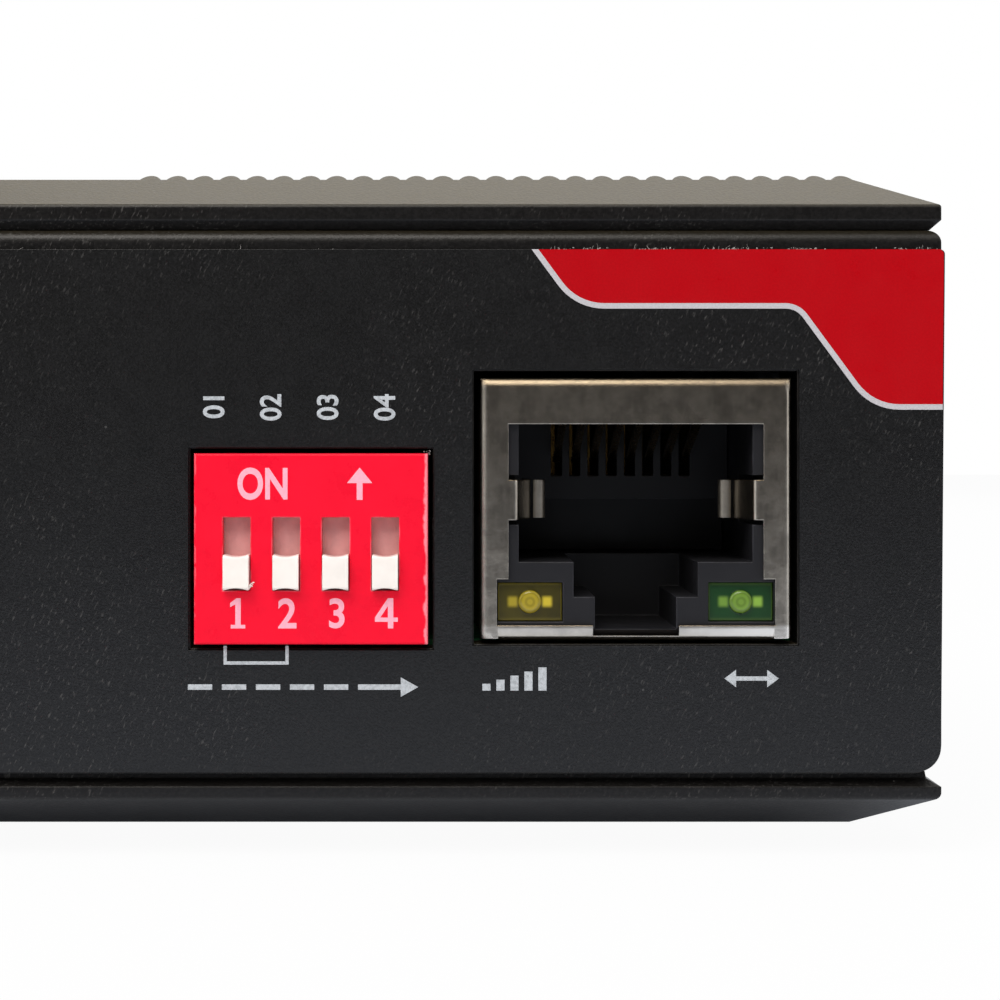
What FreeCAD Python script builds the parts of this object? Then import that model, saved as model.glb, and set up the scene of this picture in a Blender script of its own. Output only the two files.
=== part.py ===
import FreeCAD, Part
import Sketcher
import math
import os

# A desktop fibre media converter: a ribbed bevelled lid, a body and a base with
# rubber feet, and on the board inside them a shielded network jack, a four-way
# DIP switch, a duplex fibre port, status lamps and a direct-current inlet.
# X runs to the right, Y from the port face into the case and Z up. The origin
# is the centre of the case on the surface that the feet stand on.
# Every size is in millimetres.

SIZES = (
    # the case, from the feet up
    ("case_width", 100.0),
    ("case_depth", 76.0),
    ("feet_height", 1.2),
    ("base_bevel_run", 4.0),
    ("base_bevel_rise", 1.93),
    ("base_lip_height", 0.57),
    ("base_shoulder_run", 0.65),
    ("base_shoulder_rise", 0.36),
    ("base_neck_inset", 0.7),
    ("base_neck_height", 0.34),
    ("body_height", 28.06),
    ("lid_under_run", 0.5),
    ("lid_under_rise", 0.48),
    ("lid_lip_height", 0.77),
    ("lid_bevel_run", 3.85),
    ("lid_bevel_rise", 1.76),
    ("lid_lip_round", 0.2),
    ("base_lip_round", 0.45),
    # walls and the skirts that centre the lid and the base in the body
    ("body_wall", 2.0),
    ("base_floor", 2.0),
    ("lid_roof", 1.97),
    ("skirt_gap", 0.15),
    ("skirt_wall", 1.2),
    ("skirt_depth", 1.5),
    ("body_foot_radius", 1.5),
    ("body_shoulder_radius", 0.7),
    # ribs on the lid
    ("rib_height", 0.28),
    ("rib_width", 1.1),
    ("rib_count", 27),
    ("rib_free_zone", 16.3),
    # vents in the side walls
    ("vent_width", 1.6),
    ("vent_height", 11.0),
    ("vent_pitch", 4.0),
    ("vent_count", 9),
    ("vent_level", 20.0),
    # case screws and their bosses
    ("screw_side_inset", 7.5),
    ("screw_front_inset", 26.0),
    ("screw_rear_inset", 7.0),
    ("boss_radius", 3.2),
    ("screw_radius", 1.5),
    ("screw_hole_gap", 0.1),
    ("screw_pilot_gap", 0.05),
    ("screw_bite", 14.0),
    ("pilot_spare", 2.0),
    ("screw_head_radius", 2.7),
    ("screw_head_height", 1.7),
    ("screw_head_sink", 0.2),
    ("screw_head_gap", 0.3),
    ("screw_recess_span", 3.2),
    ("screw_recess_width", 0.7),
    ("screw_recess_depth", 1.0),
    # rubber feet
    ("foot_side_inset", 11.0),
    ("foot_end_inset", 15.6),
    ("foot_radius", 4.5),
    ("foot_sink", 0.6),
    ("foot_gap", 0.1),
    # printed circuit board
    ("board_thickness", 1.6),
    ("board_gap", 0.7),
    ("standoff_height", 6.3),
    ("tail_length", 2.4),
    # printed film on the port face
    ("film_thickness", 0.25),
    ("film_foot_margin", 0.1),
    ("film_head_margin", 1.06),
    ("film_foot_inset", 0.08),
    ("film_head_overhang", 0.13),
    ("film_head_radius", 0.25),
    ("film_foot_radius", 1.3),
    ("film_cutout_margin", 0.08),
    ("ink_thickness", 0.03),
    # red corner flash and its grey line, from the film's upper right corner
    ("flash_first_inset", 18.88),
    ("flash_first_drop", 2.77),
    ("flash_second_inset", 7.51),
    ("flash_third_inset", 3.68),
    ("flash_third_drop", 7.97),
    ("flash_edge_gap", 0.06),
    ("flash_first_radius", 2.65),
    ("flash_second_radius", 1.38),
    ("flash_third_radius", 2.65),
    ("line_width", 0.28),
    ("line_lean", 0.505),
    # network jack
    ("jack_inset", 15.77),
    ("jack_width", 16.0),
    ("jack_height", 13.54),
    ("jack_depth", 16.0),
    ("jack_proud", 0.35),
    ("jack_lift", 0.15),
    ("jack_cutout_gap", 0.34),
    ("jack_cutout_head", 0.36),
    ("jack_cutout_foot", 0.18),
    ("shield_sheet", 0.25),
    ("shield_bend", 0.4),
    ("shield_foot_bend", 0.65),
    ("shield_lip", 2.2),
    ("shield_lip_margin", 0.9),
    ("shield_side_lift", 0.13),
    ("shield_tab_place", 11.0),
    ("shield_tab_width", 1.6),
    ("peg_place", 8.0),
    ("peg_spread", 5.08),
    ("peg_radius", 1.5),
    ("window_half_width", 6.56),
    ("window_head", 2.38),
    ("window_foot_half_width", 7.16),
    ("window_foot_top", 3.18),
    ("window_foot", 0.8),
    ("window_notch_half_width", 2.215),
    ("window_notch_foot", 0.27),
    ("finger_foot", 6.22),
    ("finger_height", 2.06),
    ("finger_reach", 5.5),
    ("finger_swell", 1.4),
    ("finger_sheet", 0.18),
    ("finger_knee", 0.45),
    ("finger_knee_radius", 0.4),
    ("finger_bow_radius", 4.0),
    ("finger_tip_gap", 0.35),
    ("finger_relief_gap", 0.25),
    ("insert_gap", 0.05),
    ("plug_half_width", 6.03),
    ("plug_foot", 4.05),
    ("plug_head", 2.2),
    ("step_half_width", 3.2),
    ("step_foot", 2.25),
    ("latch_half_width", 2.1),
    ("latch_foot", 0.6),
    ("plug_depth", 12.2),
    ("latch_depth", 9.0),
    ("contact_groove_half_width", 4.3),
    ("contact_groove_height", 0.7),
    # jack contacts and their carrier
    ("contact_count", 8),
    ("contact_pitch", 1.02),
    ("contact_width", 0.35),
    ("contact_sheet", 0.22),
    ("contact_top_gap", 0.15),
    ("contact_start", 2.2),
    ("contact_bend", 0.5),
    ("contact_end", 10.3),
    ("contact_drop", 2.6),
    ("contact_tail", 1.2),
    ("comb_slot_width", 0.6),
    ("comb_reach", 2.4),
    ("comb_foot", 4.3),
    ("comb_slot_foot", 3.0),
    # jack lamps
    ("lamp_side_gap", 0.66),
    ("lamp_width", 3.3),
    ("lamp_height", 1.96),
    ("lamp_foot", 1.01),
    ("lamp_gap", 0.04),
    ("lamp_length", 6.5),
    ("lamp_sunk", 0.3),
    ("lamp_dome_radius", 0.61),
    ("lamp_dome_height", 0.25),
    ("lamp_dome_edge", 0.22),
    ("lamp_lead_spread", 1.27),
    ("lead_width", 0.45),
    ("lead_clear", 0.6),
    # DIP switch
    ("dip_offset", 16.7),
    ("dip_width", 12.0),
    ("dip_height", 9.8),
    ("dip_depth", 6.2),
    ("dip_proud", 0.65),
    ("dip_cutout_gap", 0.25),
    ("dip_front_wall", 0.8),
    ("dip_side_wall", 0.75),
    ("dip_edge_radius", 0.12),
    ("dip_count", 4),
    ("dip_pitch", 2.54),
    ("dip_slot_width", 1.42),
    ("dip_slot_foot", 2.76),
    ("dip_slot_height", 3.76),
    ("dip_base_gap", 0.05),
    ("dip_channel", 1.1),
    ("slider_gap", 0.05),
    ("slider_knob_height", 1.8),
    ("slider_proud", 0.55),
    ("slider_knob_radius", 0.18),
    ("slider_saddle_radius", 1.6),
    ("slider_saddle_depth", 0.11),
    ("slider_plate_width", 2.0),
    ("slider_plate_sheet", 0.8),
    ("slider_plate_margin", 0.12),
    ("dip_pin_width", 0.5),
    ("dip_pin_sheet", 0.25),
    ("dip_pin_first_run", 1.2),
    ("dip_pin_second_run", 3.74),
    ("dip_pin_first_level", 2.2),
    ("dip_pin_second_level", 5.4),
    # duplex fibre port
    ("optic_boss_gap", 1.1),
    ("optic_width", 25.4),
    ("optic_height", 10.9),
    ("optic_depth", 39.0),
    ("optic_proud", 0.9),
    ("optic_lift", 0.15),
    ("optic_cutout_gap", 0.25),
    ("optic_pitch", 12.7),
    ("port_width", 9.0),
    ("port_height", 7.4),
    ("port_foot", 1.6),
    ("port_depth", 12.5),
    ("port_key_width", 2.5),
    ("port_key_height", 0.9),
    ("sleeve_radius", 1.25),
    ("sleeve_wall", 0.35),
    ("sleeve_length", 10.5),
    ("sleeve_sunk", 3.6),
    ("sleeve_gap", 0.03),
    ("sleeve_split", 0.3),
    ("sleeve_split_spare", 0.3),
    ("can_radius", 2.8),
    ("can_flange_radius", 3.5),
    ("can_flange", 1.2),
    ("can_length", 9.0),
    ("optic_block_depth", 17.0),
    ("optic_rear_wall", 1.2),
    ("optic_pin_count", 9),
    ("optic_pin_pitch", 2.54),
    ("optic_pin_radius", 0.25),
    ("optic_pin_margin", 2.4),
    ("optic_pin_hole_gap", 0.125),
    ("latch_arm_sheet", 0.7),
    ("latch_arm_height", 3.0),
    ("latch_arm_reach", 7.5),
    ("latch_arm_gap", 0.5),
    ("latch_arm_hook", 0.45),
    # status lamps
    ("status_offset", 20.0),
    ("status_columns", 2),
    ("status_rows", 3),
    ("status_pitch", 5.0),
    ("status_foot", 4.0),
    ("status_radius", 1.5),
    ("status_gap", 0.1),
    ("status_proud", 0.5),
    ("status_dome_radius", 1.2),
    ("status_body_length", 4.6),
    ("status_holder_margin", 1.0),
    ("status_holder_depth", 4.0),
    ("status_holder_gap", 0.4),
    ("status_lead_half_spread", 0.64),
    ("status_lead_pitch", 1.0),
    # direct-current inlet at the back
    ("inlet_inset", 20.0),
    ("inlet_width", 9.0),
    ("inlet_height", 11.0),
    ("inlet_depth", 14.4),
    ("inlet_proud", 1.2),
    ("inlet_cutout_gap", 0.2),
    ("inlet_axis_height", 6.5),
    ("inlet_bore_radius", 3.15),
    ("inlet_bore_depth", 10.0),
    ("inlet_pin_radius", 1.0),
    ("inlet_pin_sunk", 0.8),
    ("inlet_pin_seat", 2.0),
    ("inlet_pin_root_radius", 1.4),
    ("inlet_pin_tip_radius", 0.6),
    ("inlet_spring_sheet", 0.3),
    ("inlet_spring_width", 2.4),
    ("inlet_spring_length", 6.5),
    ("inlet_spring_bow", 0.6),
    ("inlet_edge_radius", 0.6),
    # parts on the board
    ("transformer_gap", 22.45),
    ("transformer_width", 16.0),
    ("transformer_depth", 12.8),
    ("transformer_height", 6.2),
    ("transformer_lift", 0.2),
    ("transformer_chamfer", 0.8),
    ("transformer_lead_count", 8),
    ("transformer_lead_pitch", 1.78),
    ("chip_x", 8.0),
    ("chip_setback", 40.0),
    ("chip_side", 14.0),
    ("chip_height", 1.4),
    ("chip_lift", 0.1),
    ("chip_lead_count", 12),
    ("chip_lead_pitch", 1.0),
    ("chip_lead_width", 0.3),
    ("chip_lead_run", 1.0),
    ("lead_sheet", 0.2),
    ("supply_setback", 11.0),
    ("regulator_x", 12.0),
    ("regulator_width", 6.5),
    ("regulator_depth", 6.1),
    ("regulator_height", 2.3),
    ("regulator_tab", 1.2),
    ("crystal_x", 8.0),
    ("crystal_gap", 1.6),
    ("crystal_length", 11.0),
    ("crystal_width", 4.6),
    ("crystal_height", 3.6),
    ("crystal_flange", 0.4),
    ("capacitor_x", 8.0),
    ("capacitor_pitch", 10.5),
    ("capacitor_count", 3),
    ("capacitor_radius", 4.0),
    ("capacitor_height", 11.5),
    ("capacitor_groove_height", 1.6),
    ("capacitor_groove_depth", 0.3),
    ("capacitor_edge", 0.5),
    ("inductor_inset", 28.5),
    ("inductor_gap", 3.15),
    ("inductor_side", 7.3),
    ("inductor_height", 4.5),
    ("inductor_corner", 1.6),
    ("small_part_count", 6),
    ("small_part_pitch", 3.2),
    ("small_part_width", 1.25),
    ("small_part_depth", 2.0),
    ("small_part_height", 0.9),
    ("small_part_side_gap", 4.8),
    ("small_part_chip_gap", 2.0),
)

doc = FreeCAD.newDocument("media_converter")
sheet = doc.addObject("Spreadsheet::Sheet", "sizes")

# how a sketch names the points of a line or an arc, and its own origin
START, END, CENTRE = range(1, 4)
ORIGIN = -1

# how close, in millimetres, two places count as the same
SAME = 0.001


class Size:
    """A length worked out from the sheet: its number, and its expression."""

    def __init__(self, number, text):
        self.number = number
        self.text = text

    def __float__(self):
        return self.number

    def count(self):
        """The number of times that something is repeated."""
        return int(self.number)

    def __add__(self, other):
        other = sized(other)
        return Size(self.number + other.number, "(%s + %s)" % (self.text, other.text))

    def __sub__(self, other):
        other = sized(other)
        return Size(self.number - other.number, "(%s - %s)" % (self.text, other.text))

    def __mul__(self, other):
        other = sized(other)
        return Size(self.number * other.number, "(%s * %s)" % (self.text, other.text))

    def __truediv__(self, other):
        other = sized(other)
        return Size(self.number / other.number, "(%s / %s)" % (self.text, other.text))

    def __neg__(self):
        return sized(0) - self

    __radd__ = __add__
    __rmul__ = __mul__

    def __rsub__(self, other):
        return sized(other) - self


def sized(value):
    """A Size as it is, or a plain number as a Size."""
    if isinstance(value, Size):
        return value
    return Size(float(value), repr(float(value)))


class Names:
    """The sheet's sizes, each as an attribute of its own."""


def fill_sheet():
    """Put each size in a cell with its alias and give them back as attributes."""
    names = Names()
    for row, (alias, number) in enumerate(SIZES, start=1):
        sheet.set("A%d" % row, alias)
        sheet.set("B%d" % row, str(number))
        sheet.setAlias("B%d" % row, alias)
        setattr(names, alias, Size(float(number), "sizes." + alias))
    doc.recompute()
    return names


s = fill_sheet()


# Sketches and features


def bind(thing, name, value):
    """Tie a property to its expression in the sheet."""
    thing.setExpression(name, sized(value).text)


def hold(sketch, kind, *where_and_value):
    """Add one dimension to a sketch and tie it to its expression."""
    where = where_and_value[:-1]
    value = sized(where_and_value[-1])
    index = sketch.addConstraint(Sketcher.Constraint(kind, *where, value.number))
    bind(sketch, "Constraints[%d]" % index, value)


def hold_point(sketch, geometry, point, x, y):
    """Hold a point of a sketch at x and y from the sketch's origin."""
    hold(sketch, "DistanceX", ORIGIN, START, geometry, point, x)
    hold(sketch, "DistanceY", ORIGIN, START, geometry, point, y)


def vector(x, y, z=0):
    return FreeCAD.Vector(float(x), float(y), float(z))


def polygon(*points):
    """An outline of straight lines through the points."""

    def draw(sketch):
        first = sketch.GeometryCount
        count = len(points)
        ends = [points[(i + 1) % count] for i in range(count)]
        lines = [Part.LineSegment(vector(*a), vector(*b)) for a, b in zip(points, ends)]
        sketch.addGeometry(lines, False)
        for i in range(count):
            after = (i + 1) % count
            sketch.addConstraint(
                Sketcher.Constraint("Coincident", first + i, END, first + after, START)
            )
        for i, (x, y) in enumerate(points):
            hold_point(sketch, first + i, START, x, y)

    return draw


def rectangle(x0, y0, x1, y1):
    """A rectangle from its low corner to its high corner."""
    return polygon((x0, y0), (x1, y0), (x1, y1), (x0, y1))


def centred(x, y, width, height):
    """A rectangle about its centre."""
    half_width = sized(width) / 2
    half_height = sized(height) / 2
    return rectangle(x - half_width, y - half_height, x + half_width, y + half_height)


def circle(x, y, radius):
    """A circle about its centre."""

    def draw(sketch):
        first = sketch.GeometryCount
        sketch.addGeometry(Part.Circle(vector(x, y), vector(0, 0, 1), float(radius)), False)
        hold_point(sketch, first, CENTRE, x, y)
        hold(sketch, "Radius", first, radius)

    return draw


def bump(x, y, width, height):
    """A segment of a circle that stands on its chord, about the chord's middle."""

    def draw(sketch):
        first = sketch.GeometryCount
        left = sized(x) - sized(width) / 2
        right = sized(x) + sized(width) / 2
        arc = Part.Arc(vector(right, y), vector(x, y + height), vector(left, y))
        sketch.addGeometry([arc, Part.LineSegment(vector(left, y), vector(right, y))], False)
        sketch.addConstraint(Sketcher.Constraint("Coincident", first, END, first + 1, START))
        sketch.addConstraint(Sketcher.Constraint("Coincident", first + 1, END, first, START))
        hold_point(sketch, first + 1, START, left, y)
        hold_point(sketch, first + 1, END, right, y)
        hold(sketch, "Radius", first, (width * width / 4 + height * height) / (height * 2))

    return draw


def slot(x, y, width, height):
    """An upright slot with round ends, about its centre."""

    def draw(sketch):
        first = sketch.GeometryCount
        radius = sized(width) / 2
        reach = sized(height) / 2 - radius
        top, bottom = y + reach, y - reach
        left, right = x - radius, x + radius
        sketch.addGeometry(
            [
                Part.Arc(vector(right, top), vector(x, top + radius), vector(left, top)),
                Part.LineSegment(vector(left, top), vector(left, bottom)),
                Part.Arc(vector(left, bottom), vector(x, bottom - radius), vector(right, bottom)),
                Part.LineSegment(vector(right, bottom), vector(right, top)),
            ],
            False,
        )
        for i in range(4):
            after = first + (i + 1) % 4
            sketch.addConstraint(Sketcher.Constraint("Coincident", first + i, END, after, START))
        for arc, level in ((first, top), (first + 2, bottom)):
            hold_point(sketch, arc, CENTRE, x, level)
            hold(sketch, "DistanceY", ORIGIN, START, arc, START, level)
            hold(sketch, "DistanceY", ORIGIN, START, arc, END, level)
        hold(sketch, "Radius", first, radius)
        hold(sketch, "Radius", first + 2, radius)

    return draw


def curl(face, foot, radius, thickness, reach):
    """A strip seen from its side that comes down a face and bends back under the foot."""

    def draw(sketch):
        first = sketch.GeometryCount
        middle, level, back = face + radius, foot + radius, face + reach
        inner = radius - thickness
        turn = math.sqrt(1 / 2)
        outer_top, outer_foot = (face, level), (middle, foot)
        end_foot, end_top = (back, foot), (back, foot + thickness)
        inner_foot, inner_top = (middle, foot + thickness), (face + thickness, level)
        outer_turn = vector(middle - radius * turn, level - radius * turn)
        inner_turn = vector(middle - inner * turn, level - inner * turn)
        sketch.addGeometry(
            [
                Part.Arc(vector(*outer_top), outer_turn, vector(*outer_foot)),
                Part.LineSegment(vector(*outer_foot), vector(*end_foot)),
                Part.LineSegment(vector(*end_foot), vector(*end_top)),
                Part.LineSegment(vector(*end_top), vector(*inner_foot)),
                Part.Arc(vector(*inner_top), inner_turn, vector(*inner_foot)),
                Part.LineSegment(vector(*inner_top), vector(*outer_top)),
            ],
            False,
        )
        for a, a_end, b, b_end in (
            (0, END, 1, START), (1, END, 2, START), (2, END, 3, START),
            (3, END, 4, END), (4, START, 5, START), (5, END, 0, START),
        ):
            sketch.addConstraint(
                Sketcher.Constraint("Coincident", first + a, a_end, first + b, b_end)
            )
        for line, point, place in (
            (1, START, outer_foot), (1, END, end_foot), (3, START, end_top),
            (3, END, inner_foot), (5, START, inner_top), (5, END, outer_top),
        ):
            hold_point(sketch, first + line, point, *place)
        hold(sketch, "Radius", first, radius)
        hold(sketch, "Radius", first + 4, inner)

    return draw


def origin_feature(body, role):
    """A body's own origin plane or axis, by its role."""
    for feature in body.Origin.OriginFeatures:
        if feature.Role == role:
            return feature
    raise RuntimeError("%s has no %s" % (body.Label, role))


def new_body(name):
    body = doc.addObject("PartDesign::Body", name)
    body.Label = name
    return body


def new_sketch(body, name, plane, place, outlines):
    """A sketch flat on one of the body's planes, moved to its place along the third axis."""
    sketch = body.newObject("Sketcher::SketchObject", name + "_sketch")
    sketch.AttachmentSupport = [(origin_feature(body, plane + "_Plane"), "")]
    sketch.MapMode = "FlatFace"
    # the XZ plane's normal points to -Y
    along_normal = -sized(place) if plane == "XZ" else sized(place)
    bind(sketch, "AttachmentOffset.Base.z", along_normal)
    for outline in outlines:
        outline(sketch)
    return sketch


def finish_feature(body, feature):
    """Make the feature the body's last one and work it out."""
    body.Tip = feature
    doc.recompute()
    if "Up-to-date" not in feature.State:
        raise RuntimeError("%s of %s failed: %s" % (feature.Name, body.Label, feature.State))
    return feature


def pad(body, name, plane, low, high, *outlines):
    """Add the outlines as material from low to high along the plane's third axis."""
    feature = body.newObject("PartDesign::Pad", name)
    feature.Profile = new_sketch(body, name, plane, low, outlines)
    feature.Reversed = plane == "XZ"
    bind(feature, "Length", sized(high) - low)
    return finish_feature(body, feature)


def pocket(body, name, plane, low, high, *outlines):
    """Cut the outlines out from low to high along the plane's third axis."""
    before = body.Shape.Volume
    feature = body.newObject("PartDesign::Pocket", name)
    feature.Profile = new_sketch(body, name, plane, low, outlines)
    feature.Reversed = plane != "XZ"
    bind(feature, "Length", sized(high) - low)
    finish_feature(body, feature)
    if body.Shape.Volume >= before:
        raise RuntimeError("%s of %s cuts nothing" % (name, body.Label))
    return feature


def ruled_stack(body, name, levels):
    """A solid with straight walls through centred rectangles, each a half width, a half
    depth and a level."""
    sketches = []
    for number, (half_width, half_depth, level) in enumerate(levels):
        outline = rectangle(-half_width, -half_depth, half_width, half_depth)
        sketches.append(new_sketch(body, "%s_%d" % (name, number), "XY", level, [outline]))
    feature = body.newObject("PartDesign::AdditiveLoft", name)
    feature.Profile = sketches[0]
    feature.Sections = sketches[1:]
    feature.Ruled = True
    return finish_feature(body, feature)


def row(body, name, original, axis, pitch, count):
    """Repeat a feature along an axis at a pitch."""
    feature = body.newObject("PartDesign::LinearPattern", name)
    feature.Originals = [original]
    feature.Direction = (origin_feature(body, axis + "_Axis"), [""])
    bind(feature, "Length", pitch * (count - 1))
    bind(feature, "Occurrences", count)
    return finish_feature(body, feature)


def edges_along(body, axis, places):
    """The names of the straight edges that run along an axis through the places, each
    given by the other two coordinates in X, Y, Z order."""
    others = [i for i in range(3) if i != "XYZ".index(axis)]
    found = []
    for number, edge in enumerate(body.Shape.Edges, start=1):
        if edge.Curve.TypeId != "Part::GeomLine":
            continue
        ends = [vertex.Point for vertex in edge.Vertexes]
        for place in places:
            gaps = [abs(end[i] - float(p)) for end in ends for i, p in zip(others, place)]
            if max(gaps) < SAME:
                found.append("Edge%d" % number)
                break
    if not found:
        raise RuntimeError("%s has no such edge along %s" % (body.Label, axis))
    return found


def rims(body, radius, axis, level):
    """The names of the round edges of a radius at a level along an axis."""
    i = "XYZ".index(axis)
    found = []
    for number, edge in enumerate(body.Shape.Edges, start=1):
        if edge.Curve.TypeId != "Part::GeomCircle":
            continue
        on_level = abs(edge.Curve.Center[i] - float(level)) < SAME
        flat = abs(abs(edge.Curve.Axis[i]) - 1) < SAME
        if on_level and flat and abs(edge.Curve.Radius - float(radius)) < SAME:
            found.append("Edge%d" % number)
    if not found:
        raise RuntimeError("%s has no rim at that level" % body.Label)
    return found


def fillet(body, name, radius, edges):
    base = body.Tip
    feature = body.newObject("PartDesign::Fillet", name)
    feature.Base = (base, edges)
    bind(feature, "Radius", radius)
    return finish_feature(body, feature)


def chamfer(body, name, size, edges):
    base = body.Tip
    feature = body.newObject("PartDesign::Chamfer", name)
    feature.Base = (base, edges)
    bind(feature, "Size", size)
    return finish_feature(body, feature)


# Levels and planes that several pieces share

half_width = s.case_width / 2
half_depth = s.case_depth / 2
front = -half_depth

base_bevel_top = s.feet_height + s.base_bevel_rise
base_lip_top = base_bevel_top + s.base_lip_height
base_shoulder_top = base_lip_top + s.base_shoulder_rise
body_foot = base_shoulder_top + s.base_neck_height
body_top = body_foot + s.body_height
lid_lip_foot = body_top + s.lid_under_rise
lid_lip_top = lid_lip_foot + s.lid_lip_height
lid_top = lid_lip_top + s.lid_bevel_rise
roof_inside = lid_top - s.lid_roof
floor_inside = s.feet_height + s.base_floor
skirt_outside = s.body_wall + s.skirt_gap
skirt_inside = skirt_outside + s.skirt_wall

board_foot = floor_inside + s.standoff_height
board_top = board_foot + s.board_thickness
tail_foot = board_top - s.tail_length

screw_x = half_width - s.screw_side_inset
screw_rows = (front + s.screw_front_inset, half_depth - s.screw_rear_inset)
screw_places = [(side * screw_x, y) for side in (-1, 1) for y in screw_rows]
foot_x = half_width - s.foot_side_inset
foot_y = half_depth - s.foot_end_inset
foot_places = [(side * foot_x, end * foot_y) for side in (-1, 1) for end in (-1, 1)]

# how far from the middle the parts stand that the case's side walls place
jack_x = half_width - s.jack_inset
dip_x = jack_x - s.dip_offset
optic_x = s.boss_radius + s.optic_boss_gap + s.optic_width / 2 - screw_x
status_x = optic_x + s.status_offset
lamp_x = s.jack_width / 2 - s.shield_sheet - s.lamp_side_gap - s.lamp_width / 2
inlet_x = half_width - s.inlet_inset

# the status lamps' columns, and each lamp's X and Z, column by column from the foot
status_rows = s.status_rows.count()
status_columns = [
    status_x + s.status_pitch * (2 * column + 1 - s.status_columns) / 2
    for column in range(s.status_columns.count())
]
status_places = [
    (x, board_top + s.status_foot + s.status_pitch * level)
    for x in status_columns
    for level in range(status_rows)
]


def inset(amount):
    """The case's outline, drawn in by an amount."""
    return rectangle(
        amount - half_width, amount - half_depth, half_width - amount, half_depth - amount
    )


# The case


def lip_edges(body, level):
    """The names of the four edges of a cover's lip at a level."""
    ends = edges_along(body, "X", [(end * half_depth, level) for end in (-1, 1)])
    return ends + edges_along(body, "Y", [(side * half_width, level) for side in (-1, 1)])


def make_top_cover():
    """The lid: a mitred bevel all round, two banks of ribs, a skirt and four bosses."""
    body = new_body("top_cover")
    under = half_width - s.lid_under_run
    under_depth = half_depth - s.lid_under_run
    flat = half_width - s.lid_bevel_run
    flat_depth = half_depth - s.lid_bevel_run
    ruled_stack(
        body,
        "lid_shell",
        [
            (under, under_depth, body_top),
            (half_width, half_depth, lid_lip_foot),
            (half_width, half_depth, lid_lip_top),
            (flat, flat_depth, lid_top),
        ],
    )
    pocket(body, "lid_hollow", "XY", body_top, roof_inside, inset(skirt_inside))
    pad(
        body, "lid_skirt", "XY", body_top - s.skirt_depth, body_top,
        inset(skirt_outside), inset(skirt_inside),
    )
    pad(
        body, "lid_bosses", "XY", board_top, roof_inside,
        *[circle(x, y, s.boss_radius) for x, y in screw_places],
    )
    pocket(
        body, "lid_pilots", "XY", board_top, board_top + s.screw_bite + s.pilot_spare,
        *[circle(x, y, s.screw_radius + s.screw_pilot_gap) for x, y in screw_places],
    )
    # the ribs run past the flat top, and the bevel planes trim their ends
    bevel_slope = s.lid_bevel_run / s.lid_bevel_rise
    first_rib = (s.rib_free_zone + s.rib_width) / 2
    last_rib = flat - s.rib_width / 2
    pitch = (last_rib - first_rib) / (s.rib_count - 1)
    for word, middle in (("left", -last_rib), ("right", first_rib)):
        rib = pad(
            body, word + "_rib", "XZ", -flat_depth, flat_depth,
            bump(middle, lid_top, s.rib_width, s.rib_height),
        )
        row(body, word + "_ribs", rib, "X", pitch, s.rib_count)
    crest = lid_top + s.rib_height
    run = bevel_slope * s.rib_height
    pocket(
        body, "rib_ends", "YZ", -flat, flat,
        polygon((-flat_depth, lid_top), (run - flat_depth, crest), (-flat_depth, crest)),
        polygon((flat_depth, lid_top), (flat_depth, crest), (flat_depth - run, crest)),
    )
    fillet(body, "lip_rounds", s.lid_lip_round, lip_edges(body, lid_lip_top))
    return body


def port_outlines(margin):
    """The openings of the port face, each grown by a margin."""
    jack_foot = board_top + s.jack_lift - s.jack_cutout_foot - margin
    jack_head = board_top + s.jack_lift + s.jack_height + s.jack_cutout_head + margin
    jack_half = s.jack_width / 2 + s.jack_cutout_gap + margin
    dip_half = s.dip_width / 2 + s.dip_cutout_gap + margin
    dip_head = board_top + s.dip_height + s.dip_cutout_gap + margin
    optic_half = s.optic_width / 2 + s.optic_cutout_gap + margin
    optic_foot = board_top + s.optic_lift - s.optic_cutout_gap - margin
    optic_head = board_top + s.optic_lift + s.optic_height + s.optic_cutout_gap + margin
    outlines = [
        rectangle(jack_x - jack_half, jack_foot, jack_x + jack_half, jack_head),
        rectangle(
            dip_x - dip_half, board_top - s.dip_cutout_gap - margin,
            dip_x + dip_half, dip_head,
        ),
        rectangle(optic_x - optic_half, optic_foot, optic_x + optic_half, optic_head),
    ]
    hole = s.status_radius + s.status_gap + margin
    outlines += [circle(x, z, hole) for x, z in status_places]
    return outlines


def inlet_outline():
    """The opening in the back wall for the current inlet."""
    half = s.inlet_width / 2 + s.inlet_cutout_gap
    foot = board_top - s.inlet_cutout_gap
    head = board_top + s.inlet_height + s.inlet_cutout_gap
    return rectangle(inlet_x - half, foot, inlet_x + half, head)


def make_case_body():
    """The walls between the base and the lid, with the openings for the ports."""
    body = new_body("case_body")
    pad(body, "walls", "XY", body_foot, body_top, inset(sized(0)))
    fillet(
        body, "foot_rounds", s.body_foot_radius,
        edges_along(body, "Y", [(side * half_width, body_foot) for side in (-1, 1)]),
    )
    shoulders = edges_along(body, "Y", [(side * half_width, body_top) for side in (-1, 1)])
    shoulders += edges_along(body, "X", [(end * half_depth, body_top) for end in (-1, 1)])
    fillet(body, "shoulder_rounds", s.body_shoulder_radius, shoulders)
    pocket(body, "inside", "XY", body_foot, body_top, inset(s.body_wall))
    pocket(
        body, "port_openings", "XZ", front, front + s.body_wall, *port_outlines(sized(0))
    )
    pocket(
        body, "inlet_opening", "XZ", half_depth - s.body_wall, half_depth, inlet_outline()
    )
    first_vent = -s.vent_pitch * (s.vent_count - 1) / 2
    vent = pocket(
        body, "side_vent", "YZ", -half_width, half_width,
        slot(first_vent, s.vent_level, s.vent_width, s.vent_height),
    )
    row(body, "side_vents", vent, "Y", s.vent_pitch, s.vent_count)
    return body


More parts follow.
